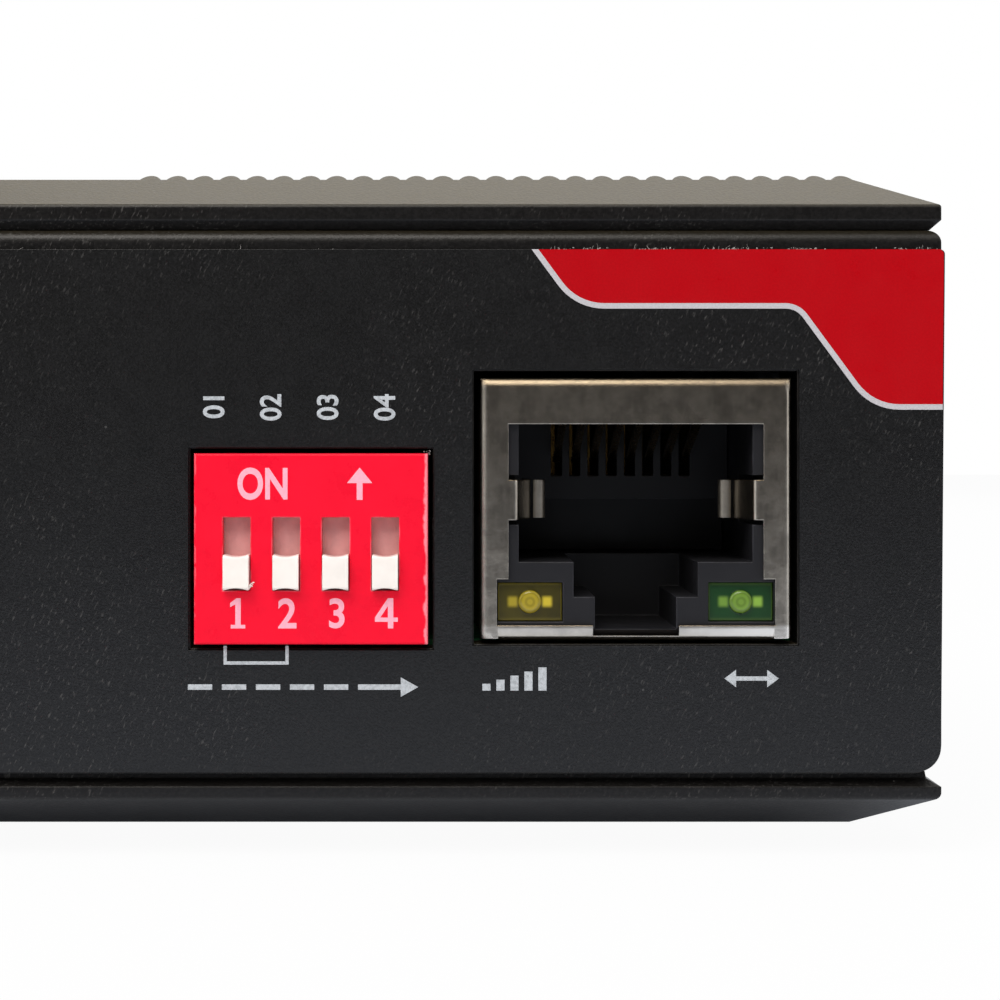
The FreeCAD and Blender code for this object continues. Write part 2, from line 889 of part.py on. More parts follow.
def make_bottom_cover():
    """The base: the lower bevel and lip, a skirt, screw bosses and seats for the feet."""
    body = new_body("bottom_cover")
    flat = half_width - s.base_bevel_run
    flat_depth = half_depth - s.base_bevel_run
    shoulder = half_width - s.base_shoulder_run
    shoulder_depth = half_depth - s.base_shoulder_run
    neck = half_width - s.base_neck_inset
    neck_depth = half_depth - s.base_neck_inset
    ruled_stack(
        body,
        "base_shell",
        [
            (flat, flat_depth, s.feet_height),
            (half_width, half_depth, base_bevel_top),
            (half_width, half_depth, base_lip_top),
            (shoulder, shoulder_depth, base_shoulder_top),
            (neck, neck_depth, body_foot),
        ],
    )
    pocket(body, "base_hollow", "XY", floor_inside, body_foot, inset(skirt_inside))
    pad(
        body, "base_skirt", "XY", body_foot, body_foot + s.skirt_depth,
        inset(skirt_outside), inset(skirt_inside),
    )
    pad(
        body, "standoffs", "XY", floor_inside, board_foot,
        *[circle(x, y, s.boss_radius) for x, y in screw_places],
    )
    pocket(
        body, "screw_holes", "XY", s.feet_height, board_foot,
        *[circle(x, y, s.screw_radius + s.screw_hole_gap) for x, y in screw_places],
    )
    head_seat = s.feet_height + s.screw_head_sink + s.screw_head_height
    pocket(
        body, "head_recesses", "XY", s.feet_height, head_seat,
        *[circle(x, y, s.screw_head_radius + s.screw_head_gap) for x, y in screw_places],
    )
    pocket(
        body, "foot_seats", "XY", s.feet_height, s.feet_height + s.foot_sink,
        *[circle(x, y, s.foot_radius + s.foot_gap) for x, y in foot_places],
    )
    fillet(body, "lip_rounds", s.base_lip_round, lip_edges(body, base_bevel_top))
    return body


def make_case_screws():
    """Four long screws that go up through the base and the board into the lid."""
    body = new_body("case_screws")
    head_foot = s.feet_height + s.screw_head_sink
    head_seat = head_foot + s.screw_head_height
    pad(
        body, "heads", "XY", head_foot, head_seat,
        *[circle(x, y, s.screw_head_radius) for x, y in screw_places],
    )
    pad(
        body, "shanks", "XY", head_seat, board_top + s.screw_bite,
        *[circle(x, y, s.screw_radius) for x, y in screw_places],
    )
    for word, wide, tall in (
        ("recess_bars", s.screw_recess_span, s.screw_recess_width),
        ("recess_crossbars", s.screw_recess_width, s.screw_recess_span),
    ):
        pocket(
            body, word, "XY", head_foot, head_foot + s.screw_recess_depth,
            *[centred(x, y, wide, tall) for x, y in screw_places],
        )
    return body


def make_rubber_feet():
    """Four round feet that stand in their seats in the base."""
    body = new_body("rubber_feet")
    pad(
        body, "discs", "XY", sized(0), s.feet_height + s.foot_sink,
        *[circle(x, y, s.foot_radius) for x, y in foot_places],
    )
    return body


# The printed film on the port face

film_foot = body_foot + s.film_foot_margin
film_top = body_top - s.film_head_margin
film_foot_half = half_width - s.film_foot_inset
film_top_half = half_width + s.film_head_overhang
film_front = front - s.film_thickness
ink_front = film_front - s.ink_thickness
flash_first = film_top - s.flash_first_drop
flash_third = film_top - s.flash_third_drop
film_edge_lean = (film_top_half - film_foot_half) / (film_top - film_foot)


def film_edge(level):
    """How far out the film's edge is at a level."""
    return film_foot_half + film_edge_lean * (level - film_foot)


def make_front_overlay():
    """The dark film stuck on the port face, open over every port."""
    body = new_body("front_overlay")
    corners = [
        (-film_foot_half, film_foot), (film_foot_half, film_foot),
        (film_top_half, film_top), (-film_top_half, film_top),
    ]
    pad(body, "film", "XZ", film_front, front, polygon(*corners))
    fillet(body, "foot_corners", s.film_foot_radius, edges_along(body, "Y", corners[:2]))
    fillet(body, "head_corners", s.film_head_radius, edges_along(body, "Y", corners[2:]))
    pocket(
        body, "film_openings", "XZ", film_front, front, *port_outlines(s.film_cutout_margin)
    )
    return body


flash_first_x = film_top_half - s.flash_first_inset
flash_second_x = film_top_half - s.flash_second_inset
flash_third_x = film_top_half - s.flash_third_inset
flash_lean = (flash_third_x - flash_second_x) / (flash_first - flash_third)


def flash_corners():
    """The lower edge of the red flash, from the film's top to its right edge."""
    return [
        (flash_first_x - flash_lean * s.flash_first_drop, film_top),
        (flash_first_x, flash_first),
        (flash_second_x, flash_first),
        (flash_third_x, flash_third),
        (film_edge(flash_third) - s.flash_edge_gap, flash_third),
    ]


def make_overlay_red_field():
    """The red corner flash, a layer of ink on the film."""
    body = new_body("overlay_red_field")
    corners = flash_corners()
    outline = corners + [(film_edge(film_top) - s.flash_edge_gap, film_top)]
    pad(body, "ink", "XZ", ink_front, film_front, polygon(*outline))
    radii = (s.flash_first_radius, s.flash_second_radius, s.flash_third_radius)
    for word, radius, corner in zip(("first", "second", "third"), radii, corners[1:4]):
        fillet(body, word + "_curve", radius, edges_along(body, "Y", [corner]))
    fillet(body, "outer_corner", s.film_head_radius, edges_along(body, "Y", outline[-1:]))
    return body


def make_overlay_grey_line():
    """The pale line that follows the lower edge of the flash at one width."""
    body = new_body("overlay_grey_line")
    corners = flash_corners()
    back = s.line_width * s.line_lean
    lower = [(x - back, z - s.line_width) for x, z in corners]
    lower[0] = (corners[0][0] - back - s.line_width * flash_lean, film_top)
    lower[-1] = (corners[-1][0], flash_third - s.line_width)
    pad(body, "ink", "XZ", ink_front, film_front, polygon(*(corners + lower[::-1])))
    radii = (s.flash_first_radius, s.flash_second_radius, s.flash_third_radius)
    signs = (1, -1, 1)
    words = ("first", "second", "third")
    for word, radius, sign, upper, under in zip(words, radii, signs, corners[1:4], lower[1:4]):
        fillet(body, word + "_curve", radius, edges_along(body, "Y", [upper]))
        outer = radius + sign * s.line_width
        fillet(body, word + "_outer_curve", outer, edges_along(body, "Y", [under]))
    return body


# The network jack

jack_foot = board_top + s.jack_lift
jack_head = jack_foot + s.jack_height
jack_front = front - s.jack_proud
jack_back = jack_front + s.jack_depth
insert_foot = jack_foot + s.shield_sheet
insert_head = jack_head - s.shield_sheet - s.insert_gap
insert_front = jack_front + s.shield_sheet + s.insert_gap
insert_back = jack_back - s.insert_gap
insert_half = s.jack_width / 2 - s.shield_sheet - s.insert_gap
plug_head = jack_head - s.plug_head
groove_head = plug_head + s.contact_groove_height
finger_foot = jack_foot + s.finger_foot
finger_head = finger_foot + s.finger_height
peg_places = [jack_x - s.peg_spread, jack_x + s.peg_spread]
peg_y = jack_front + s.peg_place


def around_jack(half, foot, head):
    """A rectangle about the jack's middle, of a half width, from foot to head."""
    return rectangle(jack_x - half, foot, jack_x + half, head)


def make_jack_shield():
    """The jack's folded sheet shield, with its window, front lip and two spring fingers."""
    body = new_body("jack_shield")
    left, right = jack_x - s.jack_width / 2, jack_x + s.jack_width / 2
    side_foot = jack_foot + s.shield_side_lift
    pad(
        body, "sheet", "XY", side_foot, jack_head,
        rectangle(left, jack_front, right, jack_back),
    )
    bends = edges_along(body, "Z", [(left, jack_front), (right, jack_front)])
    bends += edges_along(body, "X", [(jack_front, jack_head)])
    fillet(body, "front_bends", s.shield_bend, bends)
    folded = body.Tip
    open_faces = [face_at(folded, "Y", jack_back), face_at(folded, "Z", side_foot)]
    shell = body.newObject("PartDesign::Thickness", "hollow")
    shell.Base = (folded, open_faces)
    shell.Reversed = True
    bind(shell, "Value", s.shield_sheet)
    finish_feature(body, shell)
    # the lip is a tab of the front sheet, clear of the corners, that curls under the jack
    lip_half = s.jack_width / 2 - s.shield_lip_margin
    bend_top = jack_foot + s.shield_foot_bend
    pocket(
        body, "lip_relief", "XZ", jack_front, jack_front + s.shield_sheet,
        around_jack(lip_half, side_foot, bend_top),
    )
    pad(
        body, "lip", "YZ", jack_x - lip_half, jack_x + lip_half,
        curl(jack_front, jack_foot, s.shield_foot_bend, s.shield_sheet, s.shield_lip),
    )
    tab_front = jack_front + s.shield_tab_place
    tab = rectangle(tab_front, tail_foot, tab_front + s.shield_tab_width, side_foot)
    pad(body, "left_tab", "YZ", left, left + s.shield_sheet, tab)
    pad(body, "right_tab", "YZ", right - s.shield_sheet, right, tab)
    window_depth = jack_front + s.shield_foot_bend
    window_head = jack_head - s.window_head
    ledge = jack_foot + s.window_foot_top
    foot = jack_foot + s.window_foot
    notch = jack_foot + s.window_notch_foot
    half, wide, narrow = s.window_half_width, s.window_foot_half_width, s.window_notch_half_width
    x = jack_x
    pocket(
        body, "window", "XZ", jack_front, window_depth,
        polygon(
            (x - half, window_head), (x - half, ledge), (x - wide, ledge), (x - wide, foot),
            (x - narrow, foot), (x - narrow, notch), (x + narrow, notch), (x + narrow, foot),
            (x + wide, foot), (x + wide, ledge), (x + half, ledge), (x + half, window_head),
        ),
    )
    # each finger carries on from the window's edge, folds back and bows into the jack
    for side, word in ((-1, "left"), (1, "right")):
        add_finger(body, word, side)
    return body


def add_finger(body, word, side):
    """One of the shield's spring fingers, with its fold and its bow rounded."""
    edge, inward = jack_x + side * s.window_half_width, -side
    sheet = inward * s.finger_sheet
    root = edge - sheet
    knee = edge + inward * s.finger_knee
    bow = edge + inward * s.finger_swell
    tip = bow - inward * s.finger_tip_gap
    back = jack_front + s.finger_sheet
    middle, end = jack_front + s.finger_reach / 2, jack_front + s.finger_reach
    pad(
        body, word + "_finger", "XY", finger_foot, finger_head,
        polygon(
            (root, jack_front), (knee, jack_front), (bow, middle), (tip, end),
            (tip - sheet, end), (bow - sheet, middle), (knee - sheet, back), (root, back),
        ),
    )
    for bend, radius, outside, inside in (
        ("_fold", s.finger_knee_radius, (knee, jack_front), (knee - sheet, back)),
        ("_bow", s.finger_bow_radius, (bow, middle), (bow - sheet, middle)),
    ):
        fillet(body, word + bend, radius, edges_along(body, "Z", [outside]))
        fillet(
            body, word + bend + "_inside", radius - s.finger_sheet,
            edges_along(body, "Z", [inside]),
        )


def face_at(feature, axis, level):
    """The name of the flat face that lies at a level along an axis."""
    i = "XYZ".index(axis)
    for number, face in enumerate(feature.Shape.Faces, start=1):
        box = face.BoundBox
        low = (box.XMin, box.YMin, box.ZMin)[i]
        high = (box.XMax, box.YMax, box.ZMax)[i]
        if abs(low - float(level)) < SAME and abs(high - float(level)) < SAME:
            return "Face%d" % number
    raise RuntimeError("%s has no face at that level" % feature.Label)


def make_jack_housing():
    """The jack's moulded insert: a stepped cavity for the plug and two lamp tunnels."""
    body = new_body("jack_housing")
    x = jack_x
    pad(
        body, "block", "XZ", insert_front, insert_back,
        around_jack(insert_half, insert_foot, insert_head),
    )
    pad(
        body, "pegs", "XY", tail_foot, insert_foot,
        *[circle(px, peg_y, s.peg_radius) for px in peg_places],
    )
    toe = edges_along(body, "X", [(insert_front, insert_foot)])
    chamfer(body, "toe", s.shield_foot_bend - s.shield_sheet, toe)
    plug_foot = jack_foot + s.plug_foot
    step_foot = jack_foot + s.step_foot
    latch_foot = jack_foot + s.latch_foot
    plug, step, latch = s.plug_half_width, s.step_half_width, s.latch_half_width
    pocket(
        body, "plug_cavity", "XZ", insert_front, insert_back,
        around_jack(plug, plug_foot, plug_head),
    )
    pocket(
        body, "latch_steps", "XZ", insert_front, jack_front + s.latch_depth,
        polygon(
            (x - step, plug_foot), (x - step, step_foot), (x - latch, step_foot),
            (x - latch, latch_foot), (x + latch, latch_foot), (x + latch, step_foot),
            (x + step, step_foot), (x + step, plug_foot),
        ),
    )
    pocket(
        body, "contact_groove", "XZ", jack_front + s.contact_start - s.contact_sheet, insert_back,
        around_jack(s.contact_groove_half_width, plug_head, groove_head),
    )
    relief = s.finger_relief_gap
    pocket(
        body, "finger_reliefs", "XZ", insert_front, jack_front + s.finger_reach + relief,
        around_jack(s.window_half_width + relief, finger_foot - relief, finger_head + relief),
    )
    half = s.lamp_width / 2 + s.lamp_gap
    foot = jack_foot + s.lamp_foot - s.lamp_gap
    head = jack_foot + s.lamp_foot + s.lamp_height + s.lamp_gap
    pocket(
        body, "lamp_tunnels", "XZ", insert_front, insert_back,
        *[
            rectangle(x + side * lamp_x - half, foot, x + side * lamp_x + half, head)
            for side in (-1, 1)
        ],
    )
    pocket(
        body, "tail_notch", "XZ", contact_back - s.contact_tail, insert_back,
        around_jack(s.contact_groove_half_width, insert_foot, plug_foot),
    )
    return body


contact_back = insert_back - s.contact_tail
contact_head = groove_head - s.contact_top_gap
carrier_back_front = jack_front + s.plug_depth
first_contact = jack_x - s.contact_pitch * (s.contact_count - 1) / 2


def make_jack_contact_carrier():
    """The block that closes the jack's cavity at the back and combs the contacts apart."""
    body = new_body("jack_contact_carrier")
    gap = s.insert_gap
    plug_foot = jack_foot + s.plug_foot + gap
    head = plug_head - gap
    pad(
        body, "back_wall", "XZ", carrier_back_front, insert_back,
        around_jack(s.plug_half_width - gap, plug_foot, head),
    )
    comb_foot = plug_head - s.comb_foot
    pad(
        body, "comb", "XZ", carrier_back_front - s.comb_reach, carrier_back_front,
        around_jack(s.plug_half_width - gap, comb_foot, head),
    )
    slot_foot = plug_head - s.comb_slot_foot
    half_slot = s.comb_slot_width / 2
    groove = pocket(
        body, "comb_slot", "XZ", carrier_back_front - s.comb_reach, insert_back,
        rectangle(first_contact - half_slot, slot_foot, first_contact + half_slot, head),
    )
    row(body, "comb_slots", groove, "X", s.contact_pitch, s.contact_count)
    pocket(
        body, "tail_slot", "XZ", contact_back - s.contact_tail, insert_back,
        around_jack(s.contact_groove_half_width, plug_foot, slot_foot),
    )
    return body


def make_jack_contacts():
    """Eight sprung contacts that run back over the plug and down through the board."""
    body = new_body("jack_contacts")
    sheet_gap = s.contact_sheet
    start = jack_front + s.contact_start
    end = jack_front + s.contact_end
    low = contact_head - sheet_gap
    tip = low - s.contact_drop
    strip = pad(
        body, "contact", "YZ", first_contact - s.contact_width / 2,
        first_contact + s.contact_width / 2,
        polygon(
            (start + s.contact_bend, contact_head),
            (contact_back, contact_head),
            (contact_back, tail_foot),
            (contact_back - sheet_gap, tail_foot),
            (contact_back - sheet_gap, low),
            (start + s.contact_bend * 2, low),
            (end, tip + sheet_gap),
            (end, tip),
            (start, low - sheet_gap),
            (start, low),
        ),
    )
    row(body, "contacts", strip, "X", s.contact_pitch, s.contact_count)
    return body


def make_jack_lamp(name, side):
    """A clear block lamp in one of the jack's tunnels, with a round core in its face."""
    body = new_body(name)
    x = jack_x + side * lamp_x
    foot = jack_foot + s.lamp_foot
    lamp_front = insert_front + s.lamp_sunk
    middle = foot + s.lamp_height / 2
    pad(
        body, "block", "XZ", lamp_front, lamp_front + s.lamp_length,
        rectangle(x - s.lamp_width / 2, foot, x + s.lamp_width / 2, foot + s.lamp_height),
    )
    pad(
        body, "core", "XZ", lamp_front - s.lamp_dome_height, lamp_front,
        circle(x, middle, s.lamp_dome_radius),
    )
    fillet(
        body, "dome", s.lamp_dome_edge,
        rims(body, s.lamp_dome_radius, "Y", lamp_front - s.lamp_dome_height),
    )
    return body


def make_jack_lamp_leads():
    """The lamps' leads: back through the tunnels and down through the board."""
    body = new_body("jack_lamp_leads")
    back = jack_back + s.lead_clear
    start = insert_front + s.lamp_sunk + s.lamp_length
    level = jack_foot + s.lamp_foot + s.lamp_height / 2 - s.lead_width / 2
    for number, x in enumerate(lamp_lead_places()):
        pad(
            body, "lead_%d" % (number + 1), "YZ", x - s.lead_width / 2, x + s.lead_width / 2,
            polygon(
                (start, level), (back - s.lead_width, level), (back - s.lead_width, tail_foot),
                (back, tail_foot), (back, level + s.lead_width), (start, level + s.lead_width),
            ),
        )
    return body


def lamp_lead_places():
    """Where the lamps' leads are from left to right."""
    half_spread = s.lamp_lead_spread / 2
    middles = [jack_x - lamp_x, jack_x + lamp_x]
    return [middle + side * half_spread for middle in middles for side in (-1, 1)]


# The DIP switch

dip_front = front - s.dip_proud
dip_back = dip_front + s.dip_depth
dip_inner_front = dip_front + s.dip_front_wall
dip_base_front = dip_inner_front + s.dip_channel
first_way = dip_x - s.dip_pitch * (s.dip_count - 1) / 2
slot_foot = board_top + s.dip_slot_foot
slot_head = slot_foot + s.dip_slot_height


def make_dip_housing():
    """The red cover of the DIP switch, with a slot for each slider."""
    body = new_body("dip_housing")
    half = s.dip_width / 2
    left, right = dip_x - half, dip_x + half
    head = board_top + s.dip_height
    pad(body, "cover", "XZ", dip_front, dip_back, rectangle(left, board_top, right, head))
    rim = edges_along(body, "X", [(dip_front, board_top), (dip_front, head)])
    rim += edges_along(body, "Z", [(left, dip_front), (right, dip_front)])
    fillet(body, "rim", s.dip_edge_radius, rim)
    wall = s.dip_side_wall
    pocket(
        body, "hollow", "XZ", dip_inner_front, dip_back,
        rectangle(left + wall, board_top + wall, right - wall, head - wall),
    )
    half_slot = s.dip_slot_width / 2
    way = pocket(
        body, "way", "XZ", dip_front, dip_inner_front,
        rectangle(first_way - half_slot, slot_foot, first_way + half_slot, slot_head),
    )
    row(body, "ways", way, "X", s.dip_pitch, s.dip_count)
    return body


def make_dip_base():
    """The dark block behind the sliders that carries the switch's pins."""
    body = new_body("dip_base")
    wall = s.dip_side_wall + s.dip_base_gap
    half = s.dip_width / 2 - wall
    pad(
        body, "block", "XZ", dip_base_front, dip_back,
        rectangle(
            dip_x - half, board_top + wall, dip_x + half, board_top + s.dip_height - wall
        ),
    )
    return body


def make_dip_slider(number):
    """One slider: a knob in its slot and a long plate behind it that closes the slot."""
    body = new_body("dip_slider_%d" % number)
    half_knob = s.dip_slot_width / 2 - s.slider_gap
    knob_foot = slot_foot + s.slider_gap
    knob_head = knob_foot + s.slider_knob_height
    travel = s.dip_slot_height - s.slider_knob_height - s.slider_gap * 2
    plate_front = dip_inner_front + s.slider_gap
    plate_foot = knob_foot - travel - s.slider_plate_margin
    plate_head = slot_head + s.slider_plate_margin
    half_plate = s.slider_plate_width / 2
    knob_front = dip_front - s.slider_proud
    pad(
        body, "plate", "XZ", plate_front, plate_front + s.slider_plate_sheet,
        rectangle(-half_plate, plate_foot, half_plate, plate_head),
    )
    pad(
        body, "knob", "XZ", knob_front, plate_front,
        rectangle(-half_knob, knob_foot, half_knob, knob_head),
    )
    tip = edges_along(body, "X", [(knob_front, knob_foot), (knob_front, knob_head)])
    fillet(body, "knob_tip", s.slider_knob_radius, tip)
    # the knob is hollowed above and below, so that a finger nail finds it
    out = s.slider_saddle_radius - s.slider_saddle_depth
    pocket(
        body, "saddles", "XZ", knob_front, plate_front,
        circle(0, knob_foot - out, s.slider_saddle_radius),
        circle(0, knob_head + out, s.slider_saddle_radius),
    )
    bind(body, "Placement.Base.x", first_way + s.dip_pitch * (number - 1))
    return body


def make_dip_pins():
    """Two rows of bent pins from the back of the switch down through the board."""
    body = new_body("dip_pins")
    half = s.dip_pin_width / 2
    sheet_gap = s.dip_pin_sheet
    for word, run, level in (
        ("near", s.dip_pin_first_run, board_top + s.dip_pin_first_level),
        ("far", s.dip_pin_second_run, board_top + s.dip_pin_second_level),
    ):
        back = dip_back + run
        pin = pad(
            body, word + "_pin", "YZ", first_way - half, first_way + half,
            polygon(
                (dip_back, level), (back - sheet_gap, level), (back - sheet_gap, tail_foot),
                (back, tail_foot), (back, level + sheet_gap), (dip_back, level + sheet_gap),
            ),
        )
        row(body, word + "_pins", pin, "X", s.dip_pitch, s.dip_count)
    return body


# The duplex fibre port

optic_front = front - s.optic_proud
optic_back = optic_front + s.optic_depth
optic_foot = board_top + s.optic_lift
optic_head = optic_foot + s.optic_height
port_places = [optic_x + side * s.optic_pitch / 2 for side in (-1, 1)]
port_foot = optic_foot + s.port_foot
port_axis = port_foot + s.port_height / 2
port_back = optic_front + s.port_depth
block_back = optic_front + s.optic_block_depth
sleeve_front = optic_front + s.sleeve_sunk
sleeve_back = sleeve_front + s.sleeve_length
latch_front = port_back - s.latch_arm_reach


def make_optic_housing():
    """The fibre port's moulded housing, with two keyed receptacles and a rear bay."""
    body = new_body("optic_housing")
    half = s.optic_width / 2
    pad(
        body, "block", "XZ", optic_front, optic_back,
        rectangle(optic_x - half, optic_foot, optic_x + half, optic_head),
    )
    pocket(
        body, "receptacles", "XZ", optic_front, port_back,
        *[centred(x, port_axis, s.port_width, s.port_height) for x in port_places],
    )
    key_head = port_foot + s.port_height + s.port_key_height
    half_key = s.port_key_width / 2
    pocket(
        body, "keyways", "XZ", optic_front, port_back,
        *[
            rectangle(x - half_key, port_foot + s.port_height, x + half_key, key_head)
            for x in port_places
        ],
    )
    pocket(
        body, "sleeve_bores", "XZ", port_back, block_back,
        *[
            circle(x, port_axis, s.sleeve_radius + s.sleeve_wall + s.sleeve_gap)
            for x in port_places
        ],
    )
    wall = s.optic_rear_wall
    pocket(
        body, "rear_bay", "XY", optic_foot, optic_head - wall,
        rectangle(
            optic_x - half + wall, block_back, optic_x + half - wall, optic_back - wall
        ),
    )
    return body


def make_optic_sleeves():
    """Two split sleeves that line up the fibre ferrules."""
    body = new_body("optic_sleeves")
    outer = s.sleeve_radius + s.sleeve_wall
    pad(
        body, "sleeves", "XZ", sleeve_front, sleeve_back,
        *[circle(x, port_axis, outer) for x in port_places],
    )
    pocket(
        body, "bores", "XZ", sleeve_front, sleeve_back,
        *[circle(x, port_axis, s.sleeve_radius) for x in port_places],
    )
    half_split = s.sleeve_split / 2
    head = port_axis + outer + s.sleeve_split_spare
    pocket(
        body, "splits", "XZ", sleeve_front, sleeve_back,
        *[
            rectangle(x - half_split, port_axis, x + half_split, head)
            for x in port_places
        ],
    )
    return body


def make_optic_latches():
    """Hooked arms on both sides of each sleeve that hold a plug in."""
    body = new_body("optic_latches")
    foot = port_axis - s.latch_arm_height / 2
    head = port_axis + s.latch_arm_height / 2
    number = 0
    for x in port_places:
        for side in (-1, 1):
            number += 1
            outer = x + side * (s.port_width / 2 - s.latch_arm_gap)
            inner = outer - side * s.latch_arm_sheet
            hook = inner - side * s.latch_arm_hook
            ramp = latch_front + s.latch_arm_hook * 2
            pad(
                body, "arm_%d" % number, "XY", foot, head,
                polygon(
                    (outer, port_back), (outer, latch_front), (inner, latch_front),
                    (hook, latch_front + s.latch_arm_hook), (hook, ramp), (inner, ramp),
                    (inner, port_back),
                ),
            )
    return body


def make_optic_cans():
    """The sealed metal cans of the sender and the receiver behind the sleeves."""
    body = new_body("optic_cans")
    pad(
        body, "flanges", "XZ", block_back, block_back + s.can_flange,
        *[circle(x, port_axis, s.can_flange_radius) for x in port_places],
    )
    pad(
        body, "cans", "XZ", block_back + s.can_flange, block_back + s.can_length,
        *[circle(x, port_axis, s.can_radius) for x in port_places],
    )
    return body


optic_pin_y = optic_back - s.optic_pin_margin
first_optic_pin = optic_x - s.optic_pin_pitch * (s.optic_pin_count - 1) / 2


def make_optic_pins():
    """The fibre port's row of nine pins, under the module's circuit strip."""
    body = new_body("optic_pins")
    strip_foot = optic_foot + s.optic_lift
    half = s.optic_width / 2 - s.optic_rear_wall - s.insert_gap
    wall = s.optic_rear_wall
    pad(
        body, "strip", "XY", strip_foot, strip_foot + s.board_thickness / 2,
        rectangle(
            optic_x - half, block_back + s.can_length + s.can_flange,
            optic_x + half, optic_back - wall - s.insert_gap,
        ),
    )
    pin = pad(
        body, "pin", "XY", tail_foot, strip_foot,
        circle(first_optic_pin, optic_pin_y, s.optic_pin_radius),
    )
    row(body, "pins", pin, "X", s.optic_pin_pitch, s.optic_pin_count)
    return body


# The status lamps

status_lamp_front = front - s.status_proud
status_collar_front = front + s.body_wall + s.status_holder_gap
status_holder_back = status_collar_front + s.status_holder_depth
status_back = status_collar_front + s.status_body_length


def make_status_lamps():
    """Round lamps whose domes stand just out of the port face."""
    body = new_body("status_lamps")
    pad(
        body, "barrels", "XZ", status_lamp_front, status_back,
        *[circle(x, z, s.status_radius) for x, z in status_places],
    )
    fillet(
        body, "domes", s.status_dome_radius,
        rims(body, s.status_radius, "Y", status_lamp_front),
    )
    return body


def make_status_holder():
    """The block on the board that holds the status lamps in line."""
    body = new_body("status_lamp_holder")
    margin = s.status_radius + s.status_holder_margin
    low_x = status_columns[0] - margin
    high_x = status_columns[-1] + margin
    head = board_top + s.status_foot + s.status_pitch * (s.status_rows - 1) + margin
    pad(
        body, "block", "XZ", status_collar_front, status_holder_back,
        rectangle(low_x, board_top, high_x, head),
    )
    pocket(
        body, "seats", "XZ", status_collar_front, status_holder_back,
        *[circle(x, z, s.status_radius + s.insert_gap) for x, z in status_places],
    )
    return body


def make_status_leads():
    """The status lamps' leads, each row a little further back than the one below."""
    body = new_body("status_lamp_leads")
    half = s.lead_width / 2
    for number, (x, z) in enumerate(status_places):
        level = number % status_rows
        back = status_back + s.status_lead_pitch * (level + 1)
        for side, word in ((-1, "left"), (1, "right")):
            middle = x + side * s.status_lead_half_spread
            pad(
                body, "%s_lead_%d" % (word, number + 1), "YZ", middle - half, middle + half,
                polygon(
                    (status_back, z - half), (back - s.lead_width, z - half),
                    (back - s.lead_width, tail_foot), (back, tail_foot),
                    (back, z + half), (status_back, z + half),
                ),
            )
    return body


# The current inlet

inlet_face = half_depth + s.inlet_proud
inlet_inner = inlet_face - s.inlet_depth
inlet_axis = board_top + s.inlet_axis_height
bore_end = inlet_face - s.inlet_bore_depth


def make_inlet_body():
    """The moulded body of the current inlet, with its round mouth."""
    body = new_body("inlet_body")
    half = s.inlet_width / 2
    left, right = inlet_x - half, inlet_x + half
    head = board_top + s.inlet_height
    pad(body, "block", "XZ", inlet_inner, inlet_face, rectangle(left, board_top, right, head))
    fillet(
        body, "head_rounds", s.inlet_edge_radius,
        edges_along(body, "Y", [(left, head), (right, head)]),
    )
    pocket(
        body, "mouth", "XZ", bore_end, inlet_face,
        circle(inlet_x, inlet_axis, s.inlet_bore_radius),
    )
    pocket(
        body, "pin_seat", "XZ", bore_end - s.inlet_pin_seat, bore_end,
        circle(inlet_x, inlet_axis, s.inlet_pin_root_radius + s.insert_gap),
    )
    low = inlet_axis - s.inlet_bore_radius - s.inlet_spring_sheet
    pocket(
        body, "spring_slot", "XZ", bore_end, inlet_face - s.inlet_pin_sunk,
        rectangle(
            inlet_x - s.inlet_spring_width / 2 - s.insert_gap, low,
            inlet_x + s.inlet_spring_width / 2 + s.insert_gap, inlet_axis,
        ),
    )
    return body


def make_inlet_pin():
    """The inlet's centre pin, with a rounded tip."""
    body = new_body("inlet_pin")
    tip = inlet_face - s.inlet_pin_sunk
    pad(
        body, "root", "XZ", bore_end - s.inlet_pin_seat, bore_end,
        circle(inlet_x, inlet_axis, s.inlet_pin_root_radius),
    )
    pad(body, "pin", "XZ", bore_end, tip, circle(inlet_x, inlet_axis, s.inlet_pin_radius))
    fillet(
        body, "tip", s.inlet_pin_tip_radius, rims(body, s.inlet_pin_radius, "Y", tip)
    )
    return body


def make_inlet_spring():
    """The sprung contact that presses on the plug's barrel from below."""
    body = new_body("inlet_spring")
    half = s.inlet_spring_width / 2
    low = inlet_axis - s.inlet_bore_radius - s.inlet_spring_sheet
    sheet_gap = s.inlet_spring_sheet
    end = bore_end + s.inlet_spring_length
    middle = bore_end + s.inlet_spring_length / 2
    pad(
        body, "leaf", "YZ", inlet_x - half, inlet_x + half,
        polygon(
            (bore_end, low), (end, low), (end, low + sheet_gap),
            (middle, low + sheet_gap + s.inlet_spring_bow), (bore_end, low + sheet_gap),
        ),
    )
    return body


# The board and the parts on it

transformer_y = jack_back + s.transformer_gap + s.transformer_depth / 2
chip_y = front + s.chip_setback
supply_y = half_depth - s.supply_setback


